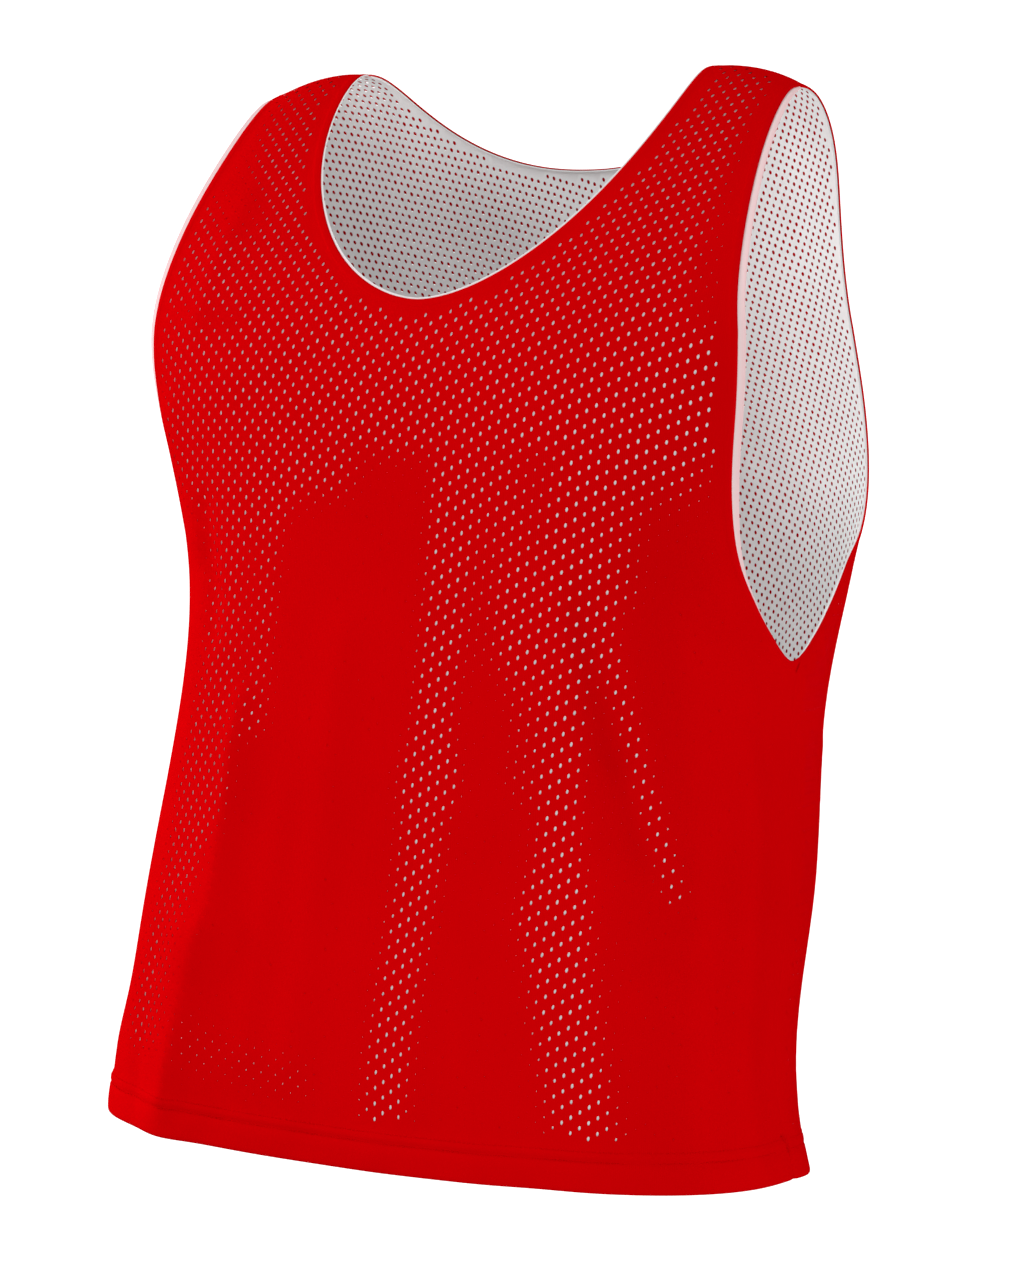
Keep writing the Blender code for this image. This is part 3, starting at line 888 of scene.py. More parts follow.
@dataclass(frozen=True)
class EdgeRelief:
    """Low relief of the hem, the seams and the turned edges, in millimetres."""

    stitch_rows: tuple[float, ...] = (23.0, 17.0)
    hem_height: float = 0.95
    hem_top: float = 24.6
    hem_step: float = 1.2
    groove_depth: float = 0.8
    groove_width: float = 1.1
    ripple_height: float = 0.5
    ripple_lengths: tuple[float, float] = (7.3, 17.0)
    ripple_start: float = 8.0
    ripple_top: float = 25.0
    ripple_fade: float = 4.0
    hem_round: float = 0.5
    hem_round_width: float = 2.2
    seam_dip: float = 0.12
    seam_dip_reach: float = 1.6
    turned_height: float = 0.28
    turned_step: float = 5.0
    turned_round: float = 0.25
    turned_round_reach: float = 6.0
    cord_height: float = 1.0
    cord_place: float = 0.8
    cord_width: float = 0.5

    def ripple(self, around: np.ndarray) -> np.ndarray:
        """Uneven rise and fall of the hem along its length."""
        short, long = self.ripple_lengths
        return self.ripple_height * np.sin(around / short) * np.sin(around / long + 1.0)

    def hem(self, around: np.ndarray, from_edge: np.ndarray) -> np.ndarray:
        """Height of the turned-up hem over the cloth.

        Args:
            around: Distance round to each place.
            from_edge: Distance up to it from the hem's edge.

        Returns:
            The height at each place.
        """
        height = self.hem_height * smooth_step((self.hem_top - from_edge) / self.hem_step)
        for row in self.stitch_rows:
            height -= self.groove_depth * np.exp(-((from_edge - row) / self.groove_width) ** 2)
        fade = smooth_step((self.ripple_top - from_edge) / self.ripple_fade)
        height += self.ripple(around) * smooth_step(from_edge / self.ripple_start) * fade
        rounding = np.clip(1.0 - from_edge / self.hem_round_width, 0.0, 1.0)
        return height - self.hem_round * rounding ** 2

    def seam(self, band: np.ndarray) -> np.ndarray:
        """Height of a seam by the share of its band."""
        return -self.seam_dip * np.clip(1.0 - band * self.seam_dip_reach, 0.0, 1.0) ** 2

    def turned(self, band: np.ndarray) -> np.ndarray:
        """Height of a turned edge by the share of its band."""
        lift = self.turned_height * smooth_step((1.0 - band) * self.turned_step)
        return lift - self.turned_round * np.clip(1.0 - band * self.turned_round_reach, 0.0, 1.0)

    def cord(self, from_edge: np.ndarray) -> np.ndarray:
        """Height of the rolled seam inside a turned edge."""
        return self.cord_height * np.exp(-((from_edge - self.cord_place) / self.cord_width) ** 2)


@dataclass(frozen=True)
class EdgeRoll:
    """How far the white layer's turned edge rolls out past the red one.

    The armholes roll out by arm_low at the bottom, and by arm_rise more from arm_from up.
    """

    arm_low: float
    arm_rise: float
    neck: float
    lift: float = 0.45
    reach: float = 0.5
    blush_reach: float = 0.75
    arm_from: float = 300.0
    arm_ease: float = 90.0
    neck_way: float = 0.7
    top_fade: float = 8.0


ROLLS = {Side.FRONT: EdgeRoll(arm_low=0.5, arm_rise=4.2, neck=1.6),
         Side.BACK: EdgeRoll(arm_low=1.1, arm_rise=-1.9, neck=-0.9)}


@dataclass
class Panel:
    """One panel of mesh knit, modelled flat and formed over the figure."""

    form: ClothForm
    edges: PanelEdges
    layer: Layer
    net: Net
    sizes: HoleSizes = HoleSizes()
    relief: EdgeRelief = EdgeRelief()
    edge_pitch: float = 3.8
    band_shares: tuple[float, ...] = (0.05, 0.12, 0.24, 0.4, 0.62, 0.68, 0.74, 0.84, 0.9, 0.94, 1.0)
    turned_shares: tuple[float, ...] = (-0.03, -0.02, -0.01)
    cells: int = 0
    HALF_COUNT: ClassVar[int] = 122
    CORNERS: ClassVar[tuple[tuple[float, float], ...]] = ((1, 1), (1, -1), (-1, -1), (-1, 1))
    CORNER_REACH: ClassVar[float] = 0.56
    RIM_INSET: ClassVar[float] = 0.22
    DROP_ROUNDS: ClassVar[int] = 6
    NORMAL_SAMPLE: ClassVar[int] = 400
    FEWEST_POINTS: ClassVar[int] = 4
    TURNED_INNER: ClassVar[float] = 1.7
    HEM_FULLNESS: ClassVar[float] = 1.3
    TURNS: ClassVar[dict[Layer, tuple[tuple[float, float], ...]]] = {
        Layer.OUTER: ((0.0, 1.0), (0.4, 0.75), (0.45, 0.35)),
        Layer.INNER: ((0.0, 0.55), (0.3, 0.4), (0.35, 0.15)),
    }

    @property
    def name(self) -> str:
        """Piece name."""
        return f"{self.layer.word}_{self.form.side.word}_mesh"

    def loops(self) -> tuple[np.ndarray, np.ndarray, list[np.ndarray]]:
        """Closed loops of points from the cut edge in to where the net begins.

        Returns:
            The cut edge, the number of the edge that each point lies on, and the loops inside.
        """
        lines = self.edges.lines(self.form)
        depths = [edge.depth for edge in Edge]
        if self.layer is Layer.INNER:
            for edge in (Edge.NECK, *ARMS):
                depths[edge.number] = self.TURNED_INNER
        outer, kinds = [], []
        for k, line in enumerate(lines):
            count = max(int(round(along(line)[-1] / self.edge_pitch)), self.FEWEST_POINTS)
            outer.append(resampled(line, count)[:-1])
            kinds.append(np.full(count - 1, k))
        inner = [[] for _ in self.band_shares]
        for k, line in enumerate(lines):
            count = len(outer[k]) + 1
            before, after = depths[k - 1], depths[(k + 1) % len(lines)]
            for n, share in enumerate(self.band_shares):
                row = resampled(line, count, before * share, after * share)
                way = np.gradient(row, axis=0)
                way /= np.linalg.norm(way, axis=1)[:, None]
                inward = np.stack((-way[:, 1], way[:, 0]), 1)
                inner[n].append((row + inward * depths[k] * share)[:-1])
        return (np.concatenate(outer), np.concatenate(kinds),
                [np.concatenate(rows) for rows in inner])

    def build(self, finish: "KnitFinish") -> bpy.types.Object:
        """Model the panel flat, form it and dress it.

        Args:
            finish: The finish of its knit.

        Returns:
            The finished piece.
        """
        rim, kinds, inner = self.loops()
        sheet = bmesh.new()
        layers = sheet.verts.layers
        for name in ("edge", "role"):
            layers.int.new(name)
        layers.float.new("band")
        marks = Marks(layers.float["band"], layers.int["edge"], layers.int["role"])
        net_edges = self._lattice(sheet, inner[-1], marks)
        last_loop = self._bands(sheet, rim, kinds, inner, marks)
        bmesh.ops.triangle_fill(sheet, use_beauty=True, edges=net_edges + last_loop)
        bmesh.ops.recalc_face_normals(sheet, faces=sheet.faces[:])
        if sum(face.normal.z for face in sheet.faces[:self.NORMAL_SAMPLE]) < 0.0:
            bmesh.ops.reverse_faces(sheet, faces=sheet.faces[:])
        mesh = bpy.data.meshes.new(self.name)
        sheet.to_mesh(mesh)
        sheet.free()
        return self._formed(mesh, finish)

    def _lattice(self, sheet: bmesh.types.BMesh, region: np.ndarray, marks: Marks) -> list:
        """Make the net with its holes, in flat millimetres.

        Args:
            sheet: The mesh to make it in, which is empty.
            region: The closed line that the net fills.
            marks: The notes on its points.

        Returns:
            The net's outer edges.
        """
        count, size = 2 * self.HALF_COUNT, float(self.HALF_COUNT)
        bmesh.ops.create_grid(sheet, x_segments=count, y_segments=count, size=size)
        faces = sheet.faces[:]
        centres = np.array([face.calc_center_median()[:2] for face in faces])
        keep = inside(self.net.to_flat(centres), region)
        for corner in self.CORNERS:
            places = centres[keep] + self.CORNER_REACH * np.array(corner)
            keep[keep] = inside(self.net.to_flat(places), region)
        gone = [face for face, kept in zip(faces, keep) if not kept]
        bmesh.ops.delete(sheet, geom=gone, context="FACES")
        self._drop_ragged(sheet)
        cells = sheet.faces[:]
        self.cells = len(cells)
        for vert in sheet.verts:
            vert[marks.role] = Role.NET.value
        bmesh.ops.inset_individual(sheet, faces=cells, thickness=self.RIM_INSET, use_even_offset=True)
        holes = list({edge for face in cells for edge in face.edges})
        bmesh.ops.delete(sheet, geom=cells, context="FACES_ONLY")
        made = bmesh.ops.subdivide_edges(sheet, edges=holes, cuts=1)
        rims = {item for item in made["geom_split"] if isinstance(item, bmesh.types.BMEdge)}
        rims |= {edge for edge in holes if edge.is_valid}
        rims = [edge for edge in rims if edge.is_boundary]
        for edge in rims:
            edge.smooth = False
            for vert in edge.verts:
                vert[marks.role] = Role.RIM.value
        if self.net.wall > 0.0:
            made = bmesh.ops.extrude_edge_only(sheet, edges=rims)
            for item in made["geom"]:
                if isinstance(item, bmesh.types.BMVert):
                    item.co.z = -self.net.wall
                    item[marks.role] = Role.RIM.value
        self._warp(sheet, marks)
        return [edge for edge in sheet.edges
                if edge.is_boundary and all(vert[marks.role] == Role.NET.value for vert in edge.verts)]

    def _drop_ragged(self, sheet: bmesh.types.BMesh) -> None:
        """Take away cells that hang on by one corner, so the net's edge is one loop.

        Args:
            sheet: The mesh with the cells in it.
        """
        for _ in range(self.DROP_ROUNDS):
            pinched = [vert for vert in sheet.verts
                       if sum(edge.is_boundary for edge in vert.link_edges) > 2]
            if not pinched:
                break
            ragged = {min(vert.link_faces, key=lambda f: sum(not e.is_boundary for e in f.edges))
                      for vert in pinched}
            bmesh.ops.delete(sheet, geom=list(ragged), context="FACES")
        loose = [vert for vert in sheet.verts if not vert.link_faces]
        bmesh.ops.delete(sheet, geom=loose, context="VERTS")

    def _warp(self, sheet: bmesh.types.BMesh, marks: Marks) -> None:
        """Move the net from cell counts to flat millimetres, with each hole at its own size.

        Args:
            sheet: The mesh with the net in it.
            marks: The notes on its points.
        """
        verts = sheet.verts[:]
        place = np.array([vert.co[:] for vert in verts])
        is_rim = np.array([vert[marks.role] == Role.RIM.value for vert in verts])
        flat = self.net.to_flat(place[:, :2])
        cell = np.floor(place[:, :2]) + 0.5
        local = place[:, :2] - cell
        centre = self.net.to_flat(cell)
        turn = self.net.turn(local)
        size = self.sizes.uneven(cell, self.net.jitter)
        if self.layer is Layer.OUTER:
            size *= self.sizes.opened(centre, self.form.side)
        wide = self.net.hole_half_width * size * np.cos(turn)
        tall = self.net.hole_half_height * size * np.sin(turn)
        tilt = self.net.tilt
        hole = np.stack((wide * math.cos(tilt) - tall * math.sin(tilt),
                         wide * math.sin(tilt) + tall * math.cos(tilt)), 1)
        flat = np.where(is_rim[:, None], centre + hole, flat)
        for vert, spot, part in zip(verts, flat, size):
            vert.co = (spot[0], spot[1], vert.co.z * part)

    def _bands(self, sheet: bmesh.types.BMesh, rim: np.ndarray, kinds: np.ndarray,
               inner: list[np.ndarray], marks: Marks) -> list:
        """Make the turned and seamed bands round the net.

        Args:
            sheet: The mesh to make them in.
            rim: The cut edge, as a closed line.
            kinds: The number of the edge that each of its points lies on.
            inner: The loops inside it.
            marks: The notes on their points.

        Returns:
            The edges of the inmost loop.
        """
        rings, depths = self._turned(rim, kinds)
        rings += [rim] + inner
        depths += [np.zeros(len(rim))] * (1 + len(inner))
        shares = [*self.turned_shares, 0.0, *self.band_shares]
        start = [sheet.verts.new((p[0], p[1], -d)) for p, d in zip(rings[0], depths[0])]
        loop = [sheet.edges.new((start[i], start[(i + 1) % len(start)])) for i in range(len(start))]
        current = start
        self._mark(current, shares[0], kinds, marks)
        for ring, depth, share in zip(rings[1:], depths[1:], shares[1:]):
            made = bmesh.ops.extrude_edge_only(sheet, edges=loop)
            fresh = {item for item in made["geom"] if isinstance(item, bmesh.types.BMVert)}
            partner = {}
            for vert in fresh:
                for edge in vert.link_edges:
                    other = edge.other_vert(vert)
                    if other not in fresh:
                        partner[other] = vert
            following = [partner[vert] for vert in current]
            for vert, spot, deep in zip(following, ring, depth):
                vert.co = Vector((spot[0], spot[1], -deep))
            loop = [item for item in made["geom"] if isinstance(item, bmesh.types.BMEdge)
                    and item.verts[0] in fresh and item.verts[1] in fresh]
            current = following
            self._mark(current, share, kinds, marks)
        return loop

    @staticmethod
    def _mark(verts: list[bmesh.types.BMVert], share: float, kinds: np.ndarray, marks: Marks) -> None:
        """Note how far into its band each point of a loop lies, and which edge it belongs to.

        Args:
            verts: The points of the loop.
            share: The share of its band at which the loop lies.
            kinds: The number of the edge that each point belongs to.
            marks: The notes to fill in.
        """
        for vert, number in zip(verts, kinds):
            vert[marks.band], vert[marks.edge] = share, int(number)
            vert[marks.role] = Role.BAND.value

    def _turned(self, rim: np.ndarray, kinds: np.ndarray) -> tuple[list[np.ndarray], list[np.ndarray]]:
        """Loops that turn the cloth in behind its own cut edge.

        Args:
            rim: The cut edge, as a closed line.
            kinds: The number of the edge that each of its points lies on.

        Returns:
            The loops, and the depth of their points behind the face.
        """
        way = np.roll(rim, -1, axis=0) - np.roll(rim, 1, axis=0)
        way /= np.linalg.norm(way, axis=1)[:, None]
        outward = np.stack((way[:, 1], -way[:, 0]), 1)
        seamed, hem = on_edge(kinds, SEAMS), on_edge(kinds, (Edge.HEM,))
        rings, depths = [], []
        for out, deep in self.TURNS[self.layer]:
            push = np.where(seamed, 0.0, out)
            rings.append(rim + outward * push[:, None])
            depths.append(np.where(hem, deep * self.HEM_FULLNESS, deep))
        return rings, depths

    def _formed(self, mesh: bpy.types.Mesh, finish: "KnitFinish") -> bpy.types.Object:
        """Form the flat mesh over the figure, with its relief, and dress it.

        Args:
            mesh: The flat panel, with its layers as attributes.
            finish: The finish of its knit.

        Returns:
            The finished piece.
        """
        count = len(mesh.vertices)
        place = np.empty(count * 3)
        mesh.vertices.foreach_get("co", place)
        place = place.reshape(-1, 3)
        band, kind, role = np.empty(count), np.empty(count, int), np.empty(count, int)
        mesh.attributes["band"].data.foreach_get("value", band)
        mesh.attributes["edge"].data.foreach_get("value", kind)
        mesh.attributes["role"].data.foreach_get("value", role)
        flat = place[:, :2].copy()
        in_band = role == Role.BAND.value
        relief = np.where(in_band, self._relief(flat, band, kind), 0.0)
        if self.layer is Layer.INNER:
            flat, relief = self._rolled(flat, band, kind, in_band, relief)
        depth = self.layer.value - place[:, 2] - relief
        space = self.form.place(flat, depth) * MM
        mesh.vertices.foreach_set("co", space.astype(np.float32).ravel())
        map_cloth(mesh, flat)
        blush = mesh.attributes.new("blush", "FLOAT", "POINT")
        blush.data.foreach_set("value", self._blush(band, kind, in_band).astype(np.float32))
        for extra in ("band", "edge", "role"):
            mesh.attributes.remove(mesh.attributes[extra])
        mesh.polygons.foreach_set("use_smooth", np.ones(len(mesh.polygons), bool))
        mesh.update()
        piece = bpy.data.objects.new(self.name, mesh)
        bpy.context.scene.collection.objects.link(piece)
        mesh.materials.append(finish.material())
        return piece

    def _relief(self, flat: np.ndarray, band: np.ndarray, kind: np.ndarray) -> np.ndarray:
        """Height of hem, seams and turned edges over the layer's face.

        Args:
            flat: Places on the flat cloth, distance round and distance up.
            band: Share of its band at which each place lies.
            kind: The number of the edge that it belongs to.

        Returns:
            The height at each place, towards the side that shows.
        """
        side, hem = on_edge(kind, SIDES), on_edge(kind, (Edge.HEM,))
        hem_line = self.edges.hem_up(flat[:, 0], self.form)
        from_edge = np.where(side, flat[:, 1] - hem_line, band * Edge.HEM.depth)
        hem_height = self.relief.hem(flat[:, 0], from_edge)
        seam_height = self.relief.seam(band) + np.where(side, hem_height, 0.0)
        turned_height = self.relief.turned(band)
        if self.layer is Layer.INNER and self.form.side is Side.BACK:
            turned_height += self.relief.cord(band * self.TURNED_INNER)
        seam = on_edge(kind, SEAMS)
        height = np.where(hem, hem_height, np.where(seam, seam_height, turned_height))
        return height if self.layer is Layer.OUTER else -height

    def _rolled(self, flat: np.ndarray, band: np.ndarray, kind: np.ndarray, in_band: np.ndarray,
                relief: np.ndarray) -> tuple[np.ndarray, np.ndarray]:
        """Let the white layer's turned edge show past the red one at the armholes and neck.

        Args:
            flat: Places on the flat cloth, distance round and distance up.
            band: Share of its band at which each place lies.
            kind: The number of the edge that it belongs to.
            in_band: Whether it lies in a band at all.
            relief: Its height over the layer's face.

        Returns:
            The places and the heights, moved out at the turned edges.
        """
        roll = ROLLS[self.form.side]
        near = in_band * np.clip(1.0 - np.maximum(band, 0.0) / roll.reach, 0.0, 1.0)
        climb = smooth_step((flat[:, 1] - roll.arm_from) / roll.arm_ease)
        neck = on_edge(kind, (Edge.NECK,))
        out = np.where(on_edge(kind, ARMS), roll.arm_low + roll.arm_rise * climb, 0.0)
        out = np.where(neck, roll.neck, out)
        out *= near * np.clip(self.form.below_shoulder(flat) / roll.top_fade, 0.0, 1.0)
        toward = 1.0 * on_edge(kind, (Edge.ARM_RIGHT,)) - on_edge(kind, (Edge.ARM_LEFT,))
        flat = flat.copy()
        flat[:, 0] += toward * out
        flat[:, 0] -= np.where(neck, np.sign(flat[:, 0]) * out * roll.neck_way, 0.0)
        flat[:, 1] += np.where(neck, out * roll.neck_way, 0.0)
        return flat, relief + np.where(out > 0.0, roll.lift * near * np.clip(out, 0.0, 1.0), 0.0)

    def _blush(self, band: np.ndarray, kind: np.ndarray, in_band: np.ndarray) -> np.ndarray:
        """How much of the red edge's colour shows through the turned edge of the front armholes.

        Args:
            band: Share of its band at which each place lies.
            kind: The number of the edge that it belongs to.
            in_band: Whether it lies in a band at all.

        Returns:
            A share for each place.
        """
        reach = ROLLS[self.form.side].blush_reach
        near = in_band * np.clip(1.0 - np.maximum(band, 0.0) / reach, 0.0, 1.0)
        return near * (on_edge(kind, ARMS) & (self.form.side is Side.FRONT))


def inside(points: np.ndarray, edge: np.ndarray) -> np.ndarray:
    """Which points lie inside a closed edge.

    Args:
        points: Flat points, one a row.
        edge: The points of the closed edge, in order.

    Returns:
        True for each point inside.
    """
    x, y = points[:, 0], points[:, 1]
    hit = np.zeros(len(points), bool)
    for (x0, y0), (x1, y1) in zip(edge, np.roll(edge, -1, axis=0)):
        if y0 != y1:
            crosses = (y0 > y) != (y1 > y)
            hit ^= crosses & (x < (x1 - x0) * (y - y0) / (y1 - y0) + x0)
    return hit


@dataclass(frozen=True)
class KnitFinish:
    """Mesh knit polyester: a fine ribbed face, soft sheen and slightly uneven colour.

    Scales are repeats in a metre of cloth, and rib_bump is in metres.
    """

    name: str
    colour: tuple[float, float, float]
    shade: tuple[float, float, float]
    blush: tuple[float, float, float]
    roughness: float
    sheen: float
    rib_bump: float
    sheen_roughness: float = 0.45
    specular: float = 0.0
    cloud_scale: float = 9.0
    cloud_detail: float = 3.0
    rib_scale: float = 280.0
    rib_waver: float = 0.6
    rib_waver_scale: float = 3.0
    yarn_scale: float = 1500.0
    yarn_detail: float = 2.0
    bump_strength: float = 0.5

    def material(self) -> bpy.types.Material:
        """Make the material, or give the one already made.

        Returns:
            The material, with its patterns on the piece's own UV map.
        """
        known = bpy.data.materials.get(self.name)
        if known is not None:
            return known
        material = bpy.data.materials.new(self.name)
        material.use_nodes = True
        nodes, links = material.node_tree.nodes, material.node_tree.links
        shader = nodes["Principled BSDF"]
        shader.inputs["Roughness"].default_value = self.roughness
        shader.inputs["Sheen Weight"].default_value = self.sheen
        shader.inputs["Sheen Roughness"].default_value = self.sheen_roughness
        shader.inputs["Specular IOR Level"].default_value = self.specular
        place = nodes.new("ShaderNodeUVMap")
        place.uv_map = UV_MAP
        cloud = nodes.new("ShaderNodeTexNoise")
        cloud.inputs["Scale"].default_value = self.cloud_scale
        cloud.inputs["Detail"].default_value = self.cloud_detail
        links.new(place.outputs["UV"], cloud.inputs["Vector"])
        tone = nodes.new("ShaderNodeMix")
        tone.data_type = "RGBA"
        tone.inputs["A"].default_value = (*self.colour, 1.0)
        tone.inputs["B"].default_value = (*self.shade, 1.0)
        links.new(cloud.outputs["Fac"], tone.inputs["Factor"])
        blush = nodes.new("ShaderNodeAttribute")
        blush.attribute_name = "blush"
        tint = nodes.new("ShaderNodeMix")
        tint.data_type = "RGBA"
        tint.inputs["B"].default_value = (*self.blush, 1.0)
        links.new(blush.outputs["Fac"], tint.inputs["Factor"])
        links.new(tone.outputs["Result"], tint.inputs["A"])
        links.new(tint.outputs["Result"], shader.inputs["Base Color"])
        self._bump(nodes, links, place, shader)
        return material

    def _bump(self, nodes: bpy.types.Nodes, links: bpy.types.NodeLinks, place: bpy.types.Node,
              shader: bpy.types.Node) -> None:
        """Fine ribs of the knit, a millimetre apart, broken up by its yarn.

        Args:
            nodes: The nodes of the material.
            links: Its links.
            place: The node that gives places on the cloth.
            shader: The node that the ribs go to.
        """
        rib = nodes.new("ShaderNodeTexWave")
        rib.wave_type = "BANDS"
        rib.bands_direction = "X"
        rib.inputs["Scale"].default_value = self.rib_scale
        rib.inputs["Distortion"].default_value = self.rib_waver
        rib.inputs["Detail Scale"].default_value = self.rib_waver_scale
        yarn = nodes.new("ShaderNodeTexNoise")
        yarn.inputs["Scale"].default_value = self.yarn_scale
        yarn.inputs["Detail"].default_value = self.yarn_detail
        both = nodes.new("ShaderNodeMath")
        both.operation = "ADD"
        bump = nodes.new("ShaderNodeBump")
        bump.inputs["Strength"].default_value = self.bump_strength
        bump.inputs["Distance"].default_value = self.rib_bump
        for node in (rib, yarn):
            links.new(place.outputs["UV"], node.inputs["Vector"])
        links.new(rib.outputs["Fac"], both.inputs[0])
        links.new(yarn.outputs["Fac"], both.inputs[1])
        links.new(both.outputs["Value"], bump.inputs["Height"])
        links.new(bump.outputs["Normal"], shader.inputs["Normal"])


RED_KNIT = KnitFinish(
    "red_knit", colour=(0.64, 0.0, 0.0015), shade=(0.56, 0.0, 0.001), blush=(0.60, 0.0, 0.002),
    roughness=0.7, sheen=0.0, rib_bump=0.00012)
WHITE_KNIT = KnitFinish(
    "white_knit", colour=(0.90, 0.88, 0.88), shade=(0.85, 0.83, 0.83), blush=(0.90, 0.62, 0.63),
    roughness=0.75, sheen=0.04, rib_bump=0.00008)


@dataclass
class HemStitches:
    """Rows of thread along the turned-up hem."""

    form: ClothForm
    edges: PanelEdges
    relief: EdgeRelief = EdgeRelief()
    pitch: float = 3.1
    length: float = 2.3
    width: float = 0.5
    height: float = 0.32
    corner: float = 0.22
    end_gap: float = 4.0
    lift: float = 0.32
    ripple_share: float = 0.4

    def build(self, finish: KnitFinish) -> bpy.types.Object:
        """Lay the stitches on the flat, form them over the hem and dress them.

        Args:
            finish: The finish of the thread.

        Returns:
            The finished piece, with every stitch of one half in it.
        """
        thread = bmesh.new()
        bmesh.ops.create_cube(thread, size=1.0)
        bmesh.ops.bevel(thread, geom=thread.edges[:], offset=self.corner, segments=1, profile=0.5,
                        affect="EDGES", material=-1)
        bmesh.ops.scale(thread, verts=thread.verts[:], vec=(self.length, self.width, self.height))
        seam = self.form.figure.seam(0.0, self.form.side)
        count = int((2 * seam - 2 * self.end_gap) / self.pitch)
        first = thread.verts[:] + thread.edges[:] + thread.faces[:]
        for row, up in enumerate(self.relief.stitch_rows):
            for i in range(count):
                made = bmesh.ops.duplicate(thread, geom=first)["geom"]
                verts = [item for item in made if isinstance(item, bmesh.types.BMVert)]
                around = -seam + self.end_gap + self.pitch * (i + 0.5 * row)
                place = (around, up + float(self.edges.hem_up(np.array(around), self.form)), 0.0)
                bmesh.ops.translate(thread, verts=verts, vec=place)
        bmesh.ops.delete(thread, geom=first, context="VERTS")
        name = f"{self.form.side.word}_hem_stitches"
        mesh = bpy.data.meshes.new(name)
        thread.to_mesh(mesh)
        thread.free()
        place = np.array([vert.co[:] for vert in mesh.vertices])
        ripple = self.relief.ripple(place[:, 0]) * self.ripple_share
        space = self.form.place(place[:, :2], -(place[:, 2] + self.lift + ripple)) * MM
        mesh.vertices.foreach_set("co", space.astype(np.float32).ravel())
        map_cloth(mesh, place[:, :2])
        mesh.shade_smooth()
        mesh.materials.append(finish.material())
        piece = bpy.data.objects.new(name, mesh)
        bpy.context.scene.collection.objects.link(piece)
        return piece


@dataclass(frozen=True)
class SoftLight:
    """A square soft light round the jersey: angles in degrees, size in metres, power in watts."""

    name: str
    azimuth: float
    elevation: float
    power: float
    size: float = 1.5


def way_to(azimuth: float, elevation: float) -> Vector:
    """Direction from the jersey, by degrees round from its front and degrees up."""
    turn, lift = math.radians(azimuth), math.radians(elevation)
    return Vector((math.sin(turn) * math.cos(lift), -math.cos(turn) * math.cos(lift), math.sin(lift)))


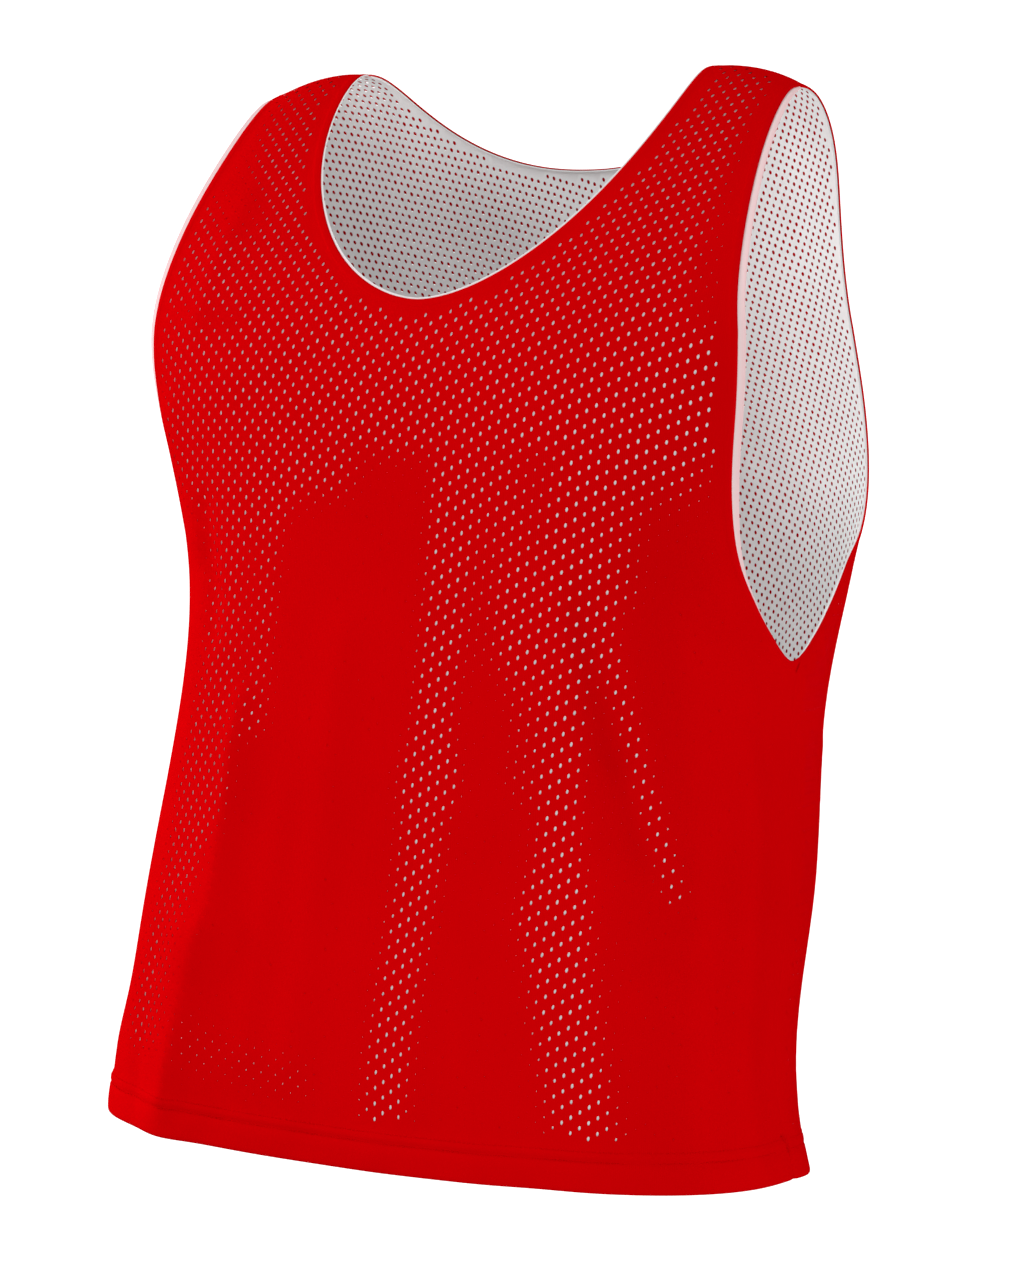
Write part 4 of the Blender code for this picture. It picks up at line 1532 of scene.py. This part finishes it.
@dataclass(frozen=True)
class Studio:
    """Pale stage, soft lights and the camera, in metres."""

    azimuth: float = 31.25
    elevation: float = 3.7
    distance: float = 3.170
    target: tuple[float, float, float] = (-0.0095, -0.011, -0.3282)
    lens: float = 151.8
    film: float = 36.0
    floor_z: float = -2.4
    reach: float = 40.0
    bend_from: float = 4.0
    bend: float = 3.0
    bend_points: int = 12
    wall_top: float = 14.0
    stage_grey: float = 0.9
    stage_roughness: float = 0.9
    stage_glow: float = 0.75
    world_strength: float = 0.43
    light_distance: float = 4.0
    lights: tuple[SoftLight, ...] = (
        SoftLight("key", -58.0, 45.0, 54.0),
        SoftLight("side", -90.0, 8.0, 104.0),
        SoftLight("front", 32.0, -18.0, 62.0),
        SoftLight("top", 0.0, 50.0, 16.0),
        SoftLight("rim", 125.0, 12.0, 56.0),
    )

    def build(self) -> None:
        """Make the stage, the lights and the camera."""
        self._stage()
        for light in self.lights:
            self._light(light)
        self._camera()
        world = bpy.data.worlds.new("studio")
        bpy.context.scene.world = world
        bpy.context.scene.view_settings.view_transform = "Standard"
        world.use_nodes = True
        back = world.node_tree.nodes["Background"]
        back.inputs["Color"].default_value = (1.0, 1.0, 1.0, 1.0)
        back.inputs["Strength"].default_value = self.world_strength

    def _stage(self) -> None:
        """A floor that curves up into a wall behind the jersey."""
        shape, side = bmesh.new(), -self.reach
        profile = [shape.verts.new((side, y, self.floor_z)) for y in (side, self.bend_from)]
        for a in np.linspace(0.0, math.pi / 2, self.bend_points)[1:]:
            y, rise = self.bend_from + self.bend * math.sin(a), self.bend * (1.0 - math.cos(a))
            profile.append(shape.verts.new((side, y, self.floor_z + rise)))
        profile.append(shape.verts.new((side, self.bend_from + self.bend, self.wall_top)))
        edges = [shape.edges.new(pair) for pair in zip(profile, profile[1:])]
        made = bmesh.ops.extrude_edge_only(shape, edges=edges)
        verts = [item for item in made["geom"] if isinstance(item, bmesh.types.BMVert)]
        bmesh.ops.translate(shape, verts=verts, vec=(2.0 * self.reach, 0.0, 0.0))
        bmesh.ops.rotate(shape, verts=shape.verts[:], cent=(0.0, 0.0, 0.0),
                         matrix=Matrix.Rotation(math.radians(self.azimuth), 3, "Z"))
        mesh = bpy.data.meshes.new("stage")
        shape.to_mesh(mesh)
        shape.free()
        mesh.shade_smooth()
        stage = bpy.data.objects.new("stage", mesh)
        bpy.context.scene.collection.objects.link(stage)
        mesh.materials.append(self._stage_paint())
        stage.visible_diffuse = False

    def _stage_paint(self) -> bpy.types.Material:
        """The stage's pale paint, with a glow that keeps it white.

        Returns:
            The material.
        """
        material = bpy.data.materials.new("stage_white")
        material.use_nodes = True
        shader = material.node_tree.nodes["Principled BSDF"]
        grey = self.stage_grey
        shader.inputs["Base Color"].default_value = (grey, grey, grey, 1.0)
        shader.inputs["Roughness"].default_value = self.stage_roughness
        shader.inputs["Emission Color"].default_value = (1.0, 1.0, 1.0, 1.0)
        shader.inputs["Emission Strength"].default_value = self.stage_glow
        return material

    def _light(self, light: SoftLight) -> None:
        """Hang one soft light, turned to the middle of the jersey.

        Args:
            light: The light, by its place and power.
        """
        way = way_to(light.azimuth, light.elevation)
        data = bpy.data.lights.new(light.name, "AREA")
        data.size, data.energy = light.size, light.power
        lamp = bpy.data.objects.new(light.name, data)
        lamp.location = Vector(self.target) + self.light_distance * way
        lamp.rotation_euler = (-way).to_track_quat("-Z", "Y").to_euler()
        bpy.context.scene.collection.objects.link(lamp)

    def _camera(self) -> None:
        """The camera, at the photograph's angle."""
        way = way_to(self.azimuth, self.elevation)
        data = bpy.data.cameras.new("camera")
        data.sensor_fit = "VERTICAL"
        data.sensor_height = self.film
        data.lens = self.lens
        camera = bpy.data.objects.new("camera", data)
        camera.location = Vector(self.target) + self.distance * way
        camera.rotation_euler = (-way).to_track_quat("-Z", "Y").to_euler()
        bpy.context.scene.collection.objects.link(camera)
        bpy.context.scene.camera = camera


@dataclass
class Jersey:
    """The whole jersey: four panels of mesh and the stitches of the red hem."""

    figure: Figure
    edges: PanelEdges

    def build(self) -> None:
        """Make every piece, hide the solids that the panels replace, and log what each is."""
        for side in Side:
            form = ClothForm(self.figure, side)
            stitches = HemStitches(form, self.edges).build(RED_KNIT)
            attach(stitches, "root")
            LOG.info("%s: %d faces", stitches.name, len(stitches.data.polygons))
            for layer, finish, slot in ((Layer.OUTER, RED_KNIT, "red_mesh"),
                                        (Layer.INNER, WHITE_KNIT, "white_mesh")):
                panel = Panel(form, self.edges, layer, NETS[layer, side])
                piece = panel.build(finish)
                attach(piece, "root")
                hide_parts(f"{layer.word}_{side.word}")
                self._declare(panel)
                LOG.info("%s: %d holes, %d faces", piece.name, panel.cells, len(piece.data.polygons))

    def _declare(self, panel: Panel) -> None:
        """State the flat cut of a panel.

        Args:
            panel: The panel that it shows.
        """
        outline = np.concatenate([line[:-1] for line in self.edges.lines(panel.form)]) * MM
        x, y = outline[:, 0], outline[:, 1]
        area = 0.5 * abs(float(np.sum(x * np.roll(y, -1) - np.roll(x, -1) * y)))
        size = (float(x.max() - x.min()), float(y.max() - y.min()))
        LOG.info("%s: cut %.3f by %.3f m, %.3f m2", panel.name, *size, area)


def main() -> None:
    """Build the jersey and its studio, and log the size of each panel's flat cut."""
    logging.basicConfig(level=logging.INFO, format="%(name)s %(message)s")
    Jersey(Figure(), PanelEdges()).build()
    Studio().build()


if __name__ == "__main__":
    main()
